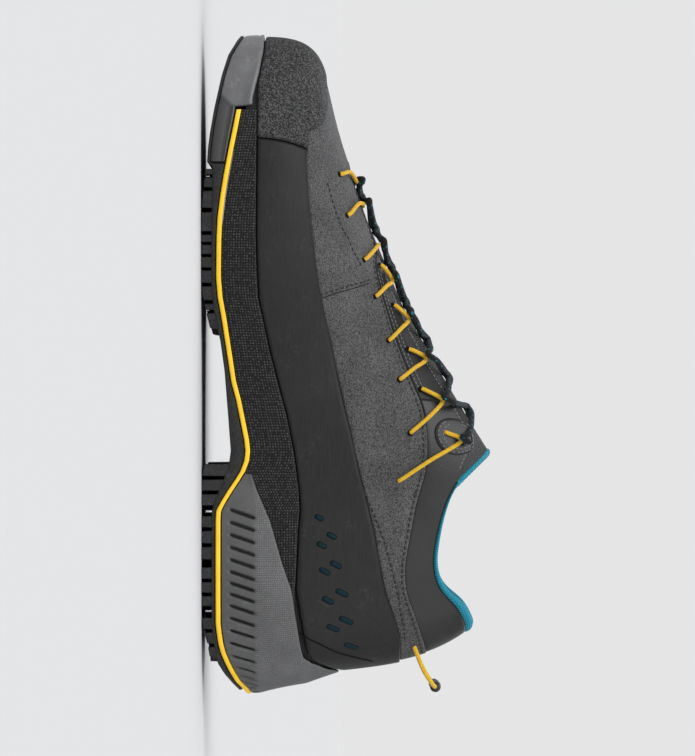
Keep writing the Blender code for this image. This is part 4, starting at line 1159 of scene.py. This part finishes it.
# Eyelet tabs: a rounded leather patch round the last loop's end, with two lines of stitches
TAB_TURN = 10.85
TAB_RISE = 0.93
TAB_WIDE = 0.62
TAB_TALL = 0.115
# The patch from its edge to its middle: share of its size, and height over the skin
TAB_PROFILE = [(1.0, 0.0004), (0.99, 0.0010), (0.96, 0.0013), (0.8, 0.0014), (0.5, 0.0014), (0.2, 0.0014),
               (0.02, 0.0014)]


def tab_place(angle, size, proud, outer):
    turn = TAB_TURN + TAB_WIDE * size * math.cos(angle)
    rise = min(1.0, TAB_RISE + TAB_TALL * size * math.sin(angle))
    return on_skin(2 * LAST_ROW - turn if outer else turn, rise, proud)


lines = []
for outer, word in ((False, "medial"), (True, "lateral")):
    rings = [[tab_place(angle, size, proud, outer) for size, proud in TAB_PROFILE] for angle in circle(48)]
    laid(f"eyelet_tab_{word}", rings, collar_leather, "upper", "upper", whole_round=True)
    for size in (0.86, 0.66):
        line = []
        for angle in spread(-2.6, 2.9, 60):
            here = tab_place(angle, size, 0.0015, outer)
            line.append((here, (tab_place(angle, size, 0.0025, outer) - here).normalized()))
        lines.append(line)
stitches("tab_stitches", lines, 0.0019, 0.0014, 0.00045, grey_thread)

# Toe cap
# A speckled rubber cap with a coarse grain. It is moulded over the toe and glued to the suede,
# and it meets the rand at both sides.
CAP_END_IN = 4.0


def cap_low(turn):
    station = outline(turn).station
    rim = upper_height(RIM_TOP, station)
    bumper = sole_height(BUMPER_TOP, station) if station < STRIPE_START + 0.01 else rim
    return rise_at(turn, max(rim, bumper) + GAP)


cap_rubber = rubber("cap_rubber", (0.016, 0.016, 0.0165), (0.085, 0.085, 0.087), 0.72, 0.0008, 0.00055,
                    marks=0.2)
rings = panel([turn % (2 * LAST_ROW) for turn in spread(-CAP_END_OUT, CAP_END_IN, 200)], cap_low,
              lambda turn: suede_start(turn) - 0.003, GAP + RAND, 34, soft=0.0)
laid("cap", rings, cap_rubber, "cap", "toe_cap")

# Rand
# A smooth dark rubber band glued round the foot of the upper, with a seam behind and slots
# through which a coloured layer shows at the heel.
CAP_SEAM = 0.035


def rand_low(turn):
    station = outline(turn).station
    height = upper_height(RIM_TOP, station)
    if station > STABILIZER_START:
        height = max(height, sole_height(STABILIZER_TOP, station) + 5 * GAP)
    return rise_at(turn, height + GAP)


tree, shader, rand_rubber = finish_of("rand_rubber", 0.5, Specular_IOR_Level=0.22)
strokes = add(tree, "ShaderNodeMapping", Vector=add(tree, "ShaderNodeTexCoord").outputs["Object"],
              Scale=(110, 1300, 1300))
brushed = add(tree, "ShaderNodeTexNoise", Vector=strokes.outputs[0], Scale=1.0, Detail=3.0)
grains = use(tree, grain, Size=0.0012)
scuffs = use(tree, scuff, Amount=0.3)
base = tint(tree, brushed.outputs["Fac"], (0.004, 0.004, 0.0042), (0.016, 0.016, 0.0165))
base = tint(tree, maths(tree, "MULTIPLY", grains["Patches"], 0.4), base, (0.015, 0.015, 0.0155))
dye(tree, shader, tint(tree, scuffs["Marks"], base, (0.06, 0.06, 0.062)))
emboss(tree, shader, brushed.outputs["Fac"], 0.00007)
rings = panel(spread(CAP_END_IN + CAP_SEAM, 2 * LAST_ROW - CAP_END_OUT - CAP_SEAM, 400), rand_low,
              lambda turn: suede_start(turn) - 0.003, GAP + RAND, 20, soft=0.0)
laid("rand", rings, rand_rubber, "rand", "rand")
REAR_SEAM = [(0.902, 0.198), (0.910, 0.237), (0.917, 0.285), (0.927, 0.348), (0.934, 0.406), (0.940, 0.479),
             (0.945, 0.551)]
spots = [spot_at(*place) for place in REAR_SEAM]
routes = [[point for point, _ in seam_line(spots, GAP + RAND, outer)] for outer in (False, True)]
# Near-black finish: the real colour of the rand's rear seam, and painted shade where it is used for the slot
# rims and the loop holes.
seam_dark_and_painted_shade = leather("seam_dark_and_painted_shade", (0.003, 0.003, 0.003), (0.005, 0.005, 0.005), 0.85, 0.0006, 0.00005,
                    Specular_IOR_Level=0.08)
fit("rand_seam", cord_mesh("rand_seam", routes, 0.00035, 6), seam_dark_and_painted_shade, "rand")
# Slots: station, height as a share of UPPER_HEIGHT, and length in metres
SLOTS = [(0.731, 0.293, 0.0040), (0.758, 0.353, 0.0045), (0.772, 0.305, 0.0045), (0.801, 0.372, 0.0055),
         (0.811, 0.319, 0.0052), (0.843, 0.401, 0.0062), (0.854, 0.334, 0.0058), (0.884, 0.421, 0.0070),
         (0.895, 0.358, 0.0062), (0.922, 0.445, 0.0072)]
SLOT_HALF = 0.0010


def slot_mesh(name, wider, proud):
    """Flat ovals on the rand, slanted back as they rise."""
    points = []
    faces = []
    for station, height, long in SLOTS:
        turn, rise = spot_at(station, height)
        for place in (turn, 2 * LAST_ROW - turn):
            middle = on_skin(place, rise, proud)
            out = (on_skin(place, rise, proud + 0.001) - middle).normalized()
            up = (on_skin(place, rise + 0.01, proud) - middle).normalized()
            back = Vector((1, 0, 0))
            back = (back - out * back.dot(out)).normalized()
            way = (up * 0.88 + back * 0.47).normalized()
            side = way.cross(out).normalized()
            rim = []
            for a in circle(16):
                stretch = math.copysign(max(0.0, long / 2 - SLOT_HALF), math.cos(a))
                rim.append(way * (stretch + (SLOT_HALF + wider) * math.cos(a))
                           + side * (SLOT_HALF + wider) * math.sin(a))
            stack(points, faces, [[middle + spoke * size + out * lift for spoke in rim]
                                  for size, lift in ((1.0, -0.0004), (0.9, 0.0), (0.55, 0.00015))])
    return bare_mesh(name, points, faces)


slot_teal = foam("slot_teal", (0.001, 0.015, 0.022), 0.6)
slot_teal.node_tree.nodes["Principled BSDF"].inputs["Specular IOR Level"].default_value = 0.12
# The near-black rims round the slots are painted shade: they stand for the shadow inside each slot's sunken
# edge, around a flat teal oval.
fit("slot_shade_rims", slot_mesh("slot_shade_rims", 0.0004, GAP + RAND + 0.00005), seam_dark_and_painted_shade, "rand")
fit("slots", slot_mesh("slots", 0.0, GAP + RAND + 0.00022), slot_teal, "rand")

# Collar lining
# A padded knit lining that rolls over the collar edge and goes down inside the shoe, sewn to
# the wall of the upper.
LINING = 0.0025
COLLAR_ROW = 12.5
rings = []
inside = -WALL - 2 * GAP
for turn in spread(COLLAR_ROW - 0.1, 2 * LAST_ROW - COLLAR_ROW + 0.1, 240):
    station = outline(turn).station
    heel = blend(0.80, 0.92, station)
    sweep = math.pi * (turn - COLLAR_ROW + 0.1) / (2 * LAST_ROW - 2 * COLLAR_ROW + 0.2)
    end = min(1.0, 1.2 * math.sin(sweep) + 0.5)
    top = 1 + (0.030 + 0.025 * heel) * end
    profile = [(0.86, inside), (0.95, inside), (0.994, inside + 0.0002), (1.000, -WALL * 0.4),
               (1.004, 0.0004), (1 + (top - 1) * 0.45, 0.0011), (1 + (top - 1) * 0.85, 0.0002),
               (top, -0.0018),
               (1 + (top - 1) * 0.85, -0.0040), (1 + (top - 1) * 0.3, inside - LINING * 1.05),
               (0.96, inside - LINING * 1.25), (0.90, inside - LINING * 1.2), (0.82, inside - LINING),
               (0.74, inside - LINING * 0.9), (0.66, inside - LINING * 0.8), (0.62, inside)]
    rings.append(smooth_route([on_skin(turn, rise, proud) for rise, proud in profile], 3))
collar_knit = open_knit("collar_knit", (0.007, 0.215, 0.31), (0.03, 0.36, 0.46), 0.0011, 0.0003, 0.7)
lining = laid("collar_padding", rings, collar_knit, "lining", "collar_lining")

# Tongue
# A padded knit tongue that runs up the throat, tucked under its edges, with a ribbed knit edge
# sewn along its top.
TONGUE = 0.0030
# Centre line of the tongue: row of LAST, station and height as a share of UPPER_HEIGHT
TONGUE_STATION = [(0, 0.197), (1, 0.203), (3, 0.247), (5, 0.315), (7, 0.410), (9, 0.515),
                  (11, 0.598), (12, 0.632)]
TONGUE_HEIGHT = [(0, 0.395), (1, 0.400), (3, 0.476), (5, 0.570), (7, 0.695), (9, 0.885),
                 (11, 1.045), (12, 1.113)]
TONGUE_EDGE = 0.72
TONGUE_TUCK = 0.16
TONGUE_NOSE = 0.0070
TONGUE_DIP = 0.0058


def cover(row, across, proud):
    """Point on the skin as it would close over the throat; across runs from -1 to 1."""
    if abs(across) > TONGUE_EDGE:
        rise = 1 - TONGUE_TUCK * (abs(across) - TONGUE_EDGE) / (1 - TONGUE_EDGE)
        return on_skin(row if across < 0 else 2 * LAST_ROW - row, rise, proud)
    share = across / TONGUE_EDGE
    inner = on_skin(row, 1, proud)
    outer = on_skin(2 * LAST_ROW - row, 1, proud)
    crown = Vector(((along(TONGUE_STATION, row) - 0.5) * LENGTH, (inner.y + outer.y) / 2,
                    SOLE_HEIGHT + UPPER_HEIGHT * along(TONGUE_HEIGHT, row)))
    lean = Vector((-0.5, 0, 0.85)) * (proud + WALL + GAP)
    rise = crown + lean - (inner + outer) / 2
    return inner.lerp(outer, (share + 1) / 2) + rise * (1 - share * share)


rings = []
wide = spread(-1, 1, 44)
for row in spread(1.25, COLLAR_ROW - 0.10, 110):
    shift = Vector((TONGUE_NOSE, 0, TONGUE_DIP)) * (1 - blend(1.25, 1.9, row))
    ring = []
    for a in wide:
        puff = 0.0006 * math.cos(a * math.pi / 2)
        ring.append(cover(row, a, inside + puff) - shift)
    ring += [cover(row, a, inside - TONGUE) - shift for a in reversed(wide)]
    rings.append(ring)
tongue_knit = open_knit("tongue_knit", (0.022, 0.022, 0.024), (0.13, 0.13, 0.135), 0.0012, 0.0003, 0.7)
tongue = laid("tongue_pad", rings, tongue_knit, "tongue", "tongue", tube=True)
EDGE_RADIUS = 0.0017
path = [cover(COLLAR_ROW - 0.05 + 0.15 * a * a, a, inside - TONGUE * 0.4) for a in spread(-0.98, 0.98, 90)]
rings = []
for i, point in enumerate(path):
    ahead = (path[min(i + 1, len(path) - 1)] - path[max(i - 1, 0)]).normalized()
    lean = Vector((0.75, 0, 1)).normalized()
    across = ahead.cross(lean).normalized()
    lean = across.cross(ahead).normalized()
    rib = 1 + 0.05 * math.cos(i * math.pi)
    thin = min(1.0, 0.35 + min(i, len(path) - 1 - i) / 8)
    rings.append([point + (across * math.cos(a) * 1.4
                           + lean * (math.sin(a) + 0.25)) * EDGE_RADIUS * rib * thin for a in circle(14)])
edge_knit = open_knit("edge_knit", (0.007, 0.215, 0.31), (0.03, 0.36, 0.46), 0.0014, 0.0004, 0.6)
edge = laid("tongue_edge", rings, edge_knit, "tongue", "tongue", tube=True)

# Insole
# A removable foam footbed under black cloth, with a plain coloured patch at the heel. It lies
# loose on the sole.
INSOLE = 0.0040
HEEL_ROOM = 0.0030
# Sides of the coloured patch along and across the shoe, and the width of its blurred edge
PATCH_SIDES = (("X", 0.028, 0.085), ("Y", -0.0165, 0.0105))
PATCH_BLUR = 0.0005
rings = []
for station in spread(0.013, 0.991, 130):
    inner, outer = edges_at(station)
    inset = band_width(station) + WALL + 6 * GAP + HEEL_ROOM * blend(0.85, 1.0, station)
    left = inner.point - inner.normal * inset
    right = outer.point - outer.normal * inset
    base = sole_height(FOOTBED, station) + GAP
    ring = [left.lerp(right, share) + Vector((0, 0, base)) for share in (1.0, 0.0)]
    for share in spread(0, 1, 26):
        cup = abs(2 * share - 1) ** 6
        ring.append(left.lerp(right, share) + Vector((0, 0, base + INSOLE * (0.9 + 0.35 * cup))))
    rings.append(ring)
tree, shader, insole_cloth = finish_of("insole_cloth", 0.92, Sheen_Weight=0.2)
weave = use(tree, knit, Pitch=0.0009)
where = place_of(tree)
patch = 1.0
for axis, low, high in PATCH_SIDES:
    patch = maths(tree, "MULTIPLY", patch, ramp(tree, where[axis], low, low + PATCH_BLUR))
    patch = maths(tree, "MULTIPLY", patch, ramp(tree, where[axis], high - PATCH_BLUR, high, 1.0, 0.0))
cloth = tint(tree, weave["Openings"], (0.028, 0.028, 0.030), (0.010, 0.010, 0.010))
patch_colour = tint(tree, weave["Openings"], (0.70, 0.27, 0.012), (0.55, 0.20, 0.010))
dye(tree, shader, tint(tree, patch, cloth, patch_colour))
emboss(tree, shader, weave["Height"], 0.00015)
laid("footbed", rings, insole_cloth, "insole", "insole", tube=True)

# Lace loops
# Braided yellow cords that come out of small holes in the upper, turn round the lace and go
# back. Their ends are sewn in inside.
LOOP_RADIUS = 0.00095
LOOP_ARCH = 0.0006
# Rows of LAST and places across the throat for the lower hole, the turn round the lace and the
# upper hole; a loop with no upper hole ends at the lace
LOOPS = [
    ("1", (3.9, 1.22), (2.40, 0.70), None),
    ("2", (5.1, 1.20), (3.70, 0.74), None),
    ("3", (6.2, 1.10), (5.30, 0.73), None),
    ("4", (7.15, 1.08), (6.45, 0.74), (6.10, 0.84)),
    ("5", (8.25, 1.10), (7.55, 0.75), (7.25, 0.86)),
    ("6", (9.25, 1.16), (8.60, 0.80), (8.40, 0.92)),
    ("7", (10.8, 1.24), (9.75, 0.88), (9.45, 1.00)),
    ("8", (12.3, 1.28), (11.0, 0.85), (10.75, 0.96)),
]
BIGHT = 0.0012


def loop_route(side, foot, turn, hole):
    """Route of a loop's cord; where it goes back to an upper hole, it turns in a small bight."""
    lift = SUEDE_STEP + LOOP_RADIUS + GAP
    root, tip = [cover(row, side * across, lift) for row, across in (foot, turn)]
    middle = cover((foot[0] + turn[0]) / 2, side * (foot[1] + turn[1]) / 2, lift + LOOP_ARCH)
    if not hole:
        return [root, middle, tip]
    back = cover(hole[0], side * hole[1], lift)
    apart = ((middle - tip).normalized() - (back - tip).normalized()).normalized() * BIGHT
    return [root, middle, tip + apart, tip - apart, back]


loop_cord = braided("loop_cord", (0.95, 0.56, 0.030), (1.0, 0.72, 0.08), 0.7, 0.0022, 0.00018, 0.35)
hole_spots = []
for side, word in ((-1, "medial"), (1, "lateral")):
    for name, foot, turn, hole in LOOPS:
        stops = loop_route(side, foot, turn, hole)
        sink = (cover(foot[0], side * foot[1], 0.0) - stops[0]) * 0.45
        stops = [stops[0] + sink, stops[0].lerp(stops[1], 0.18)] + stops[1:]
        hole_spots.append((foot, side))
        if hole:
            stops = stops[:-1] + [stops[-2].lerp(stops[-1], 0.75), stops[-1] + sink]
            hole_spots.append((hole, side))
        fit(f"loop_{word}_{name}_cord", cord_mesh(name, [smooth_route(stops, 8)], LOOP_RADIUS, 12), loop_cord,
            "loop", f"loop_{word}_{name}")
# Dark raised rings where the loops go into the upper: their near-black colour is painted shade of the holes.
points = []
faces = []
for (row, across), side in hole_spots:
    middle = cover(row, side * across, SUEDE_STEP + 0.0001)
    out = (cover(row, side * across, SUEDE_STEP + 0.0011) - middle).normalized()
    way = out.cross(Vector((0, 1, 0))).normalized()
    sidewards = out.cross(way)
    spokes = [(way * math.cos(a) + sidewards * math.sin(a)) * LOOP_RADIUS for a in circle(14)]
    stack(points, faces, [[middle + spoke * size + out * lift for spoke in spokes]
                          for size, lift in ((1.5, -0.00005), (1.25, 0.00025), (0.9, 0.0001))])
fit("loop_hole_shade", bare_mesh("loop_hole_shade", points, faces), seam_dark_and_painted_shade, "upper")

# Laces
# One round braided lace, black with coloured flecks, that zigzags over the tongue through the
# loops. It is drawn as two strands that cross.
LACE_RADIUS = 0.0013
LACE_SINK = 0.0048
# Lift of the upper and the lower strand where they cross
LACE_OVER = 0.0008
LACE_UNDER = -0.0003
LACE_ROWS = [(2.35, 0.69), (3.65, 0.73), (5.25, 0.72), (6.40, 0.73), (7.50, 0.74), (8.55, 0.79),
             (9.70, 0.87), (10.95, 0.84)]
LACE_BEND = 0.15
LACE_FRONT = 0.25
LACE_NEAR = 0.07
LACE_LEAVE = 0.69


def lace_point(row, across):
    """Middle of the lace at a place over the throat: over the loops at the sides, lower between them."""
    lift = SUEDE_STEP + 2 * LOOP_RADIUS + LACE_RADIUS
    return cover(row, across, lift + 2 * GAP - LACE_SINK * max(0.0, 1 - (across / LACE_LEAVE) ** 4))


routes = []
for side in (-1, 1):
    stops = []
    for index, (row, turn) in enumerate(LACE_ROWS):
        here = side if index % 2 == 0 else -side
        over = Vector((0, 0, LACE_OVER if side > 0 else LACE_UNDER))
        stops.append(lace_point(row - LACE_BEND, here * (turn - LACE_NEAR)))
        stops.append(lace_point(row, here * (turn + 0.015)) + Vector((0, here * 0.0004, 0.0006)))
        stops.append(lace_point(row + LACE_BEND, here * (turn - LACE_NEAR)))
        if index < len(LACE_ROWS) - 1:
            following = LACE_ROWS[index + 1][0]
            for share in (0.36, 0.5, 0.64):
                stops.append(lace_point(row + (following - row) * share, here * (1 - 2 * share)) + over)
    if side < 0:
        stops = [lace_point(LACE_ROWS[0][0] - LACE_FRONT, a) for a in (0.62, 0.3, 0.0, -0.3)] + stops
    routes.append(smooth_route(stops, 6))
lace_braid = braided("lace_braid", (0.011, 0.012, 0.013), (0.008, 0.20, 0.28), 0.8, 0.0032, 0.00025, 0.8)
fit("lace_cords", cord_mesh("lace_cords", routes, LACE_RADIUS, 14), lace_braid, "lace", "laces")

# Pull loop
# A yellow cord rooted on both sides of the heel seam, its middle in a thick black sleeve, to
# pull the shoe on by.
PULL_RADIUS = 0.0010
SLEEVE_RADIUS = 0.0023
PULL_TURN = 18.3
PULL_RISE = 0.72
PULL_SUNK = 0.4
# Route of the loop: station, width (share of HALF) and height (share of UPPER_HEIGHT)
PULL_ROUTE = [(0.9593, 0.357, 0.789), (0.9807, 0.346, 0.827), (0.9888, 0.283, 0.850),
              (0.9912, 0.149, 0.860), (0.9912, -0.056, 0.860), (0.9898, -0.208, 0.854),
              (0.9831, -0.316, 0.838), (0.9610, -0.3535, 0.795)]
PULL_STEPS = 10
# Ends of the sleeve, counted in half stretches between the route's points
SLEEVE_FROM = 6
SLEEVE_TO = 12
proud = SUEDE_STEP + GAP + (1 - PULL_SUNK) * PULL_RADIUS
points = [Vector(((station - 0.5) * LENGTH, width * HALF, SOLE_HEIGHT + UPPER_HEIGHT * height))
          for station, width, height in PULL_ROUTE]
points = [on_skin(2 * LAST_ROW - PULL_TURN, PULL_RISE, proud), *points,
          on_skin(PULL_TURN, PULL_RISE, proud)]
route = smooth_route(points, PULL_STEPS)
start = SLEEVE_FROM * PULL_STEPS // 2
stop = SLEEVE_TO * PULL_STEPS // 2
fit("pull_loop_lateral", cord_mesh("pull_a", [route[:start + 2]], PULL_RADIUS, 12), loop_cord, "loop",
    "pull_cord_lateral")
fit("pull_loop_medial", cord_mesh("pull_b", [route[stop - 1:]], PULL_RADIUS, 12), loop_cord, "loop",
    "pull_cord_medial")
sleeve_rubber = rubber("sleeve_rubber", (0.018, 0.018, 0.019), (0.035, 0.035, 0.036), 0.5, 0.0005, 0.00006)
fit("pull_grip", cord_mesh("pull_c", [route[start:stop + 1]], SLEEVE_RADIUS, 16), sleeve_rubber, "sleeve",
    "pull_sleeve")
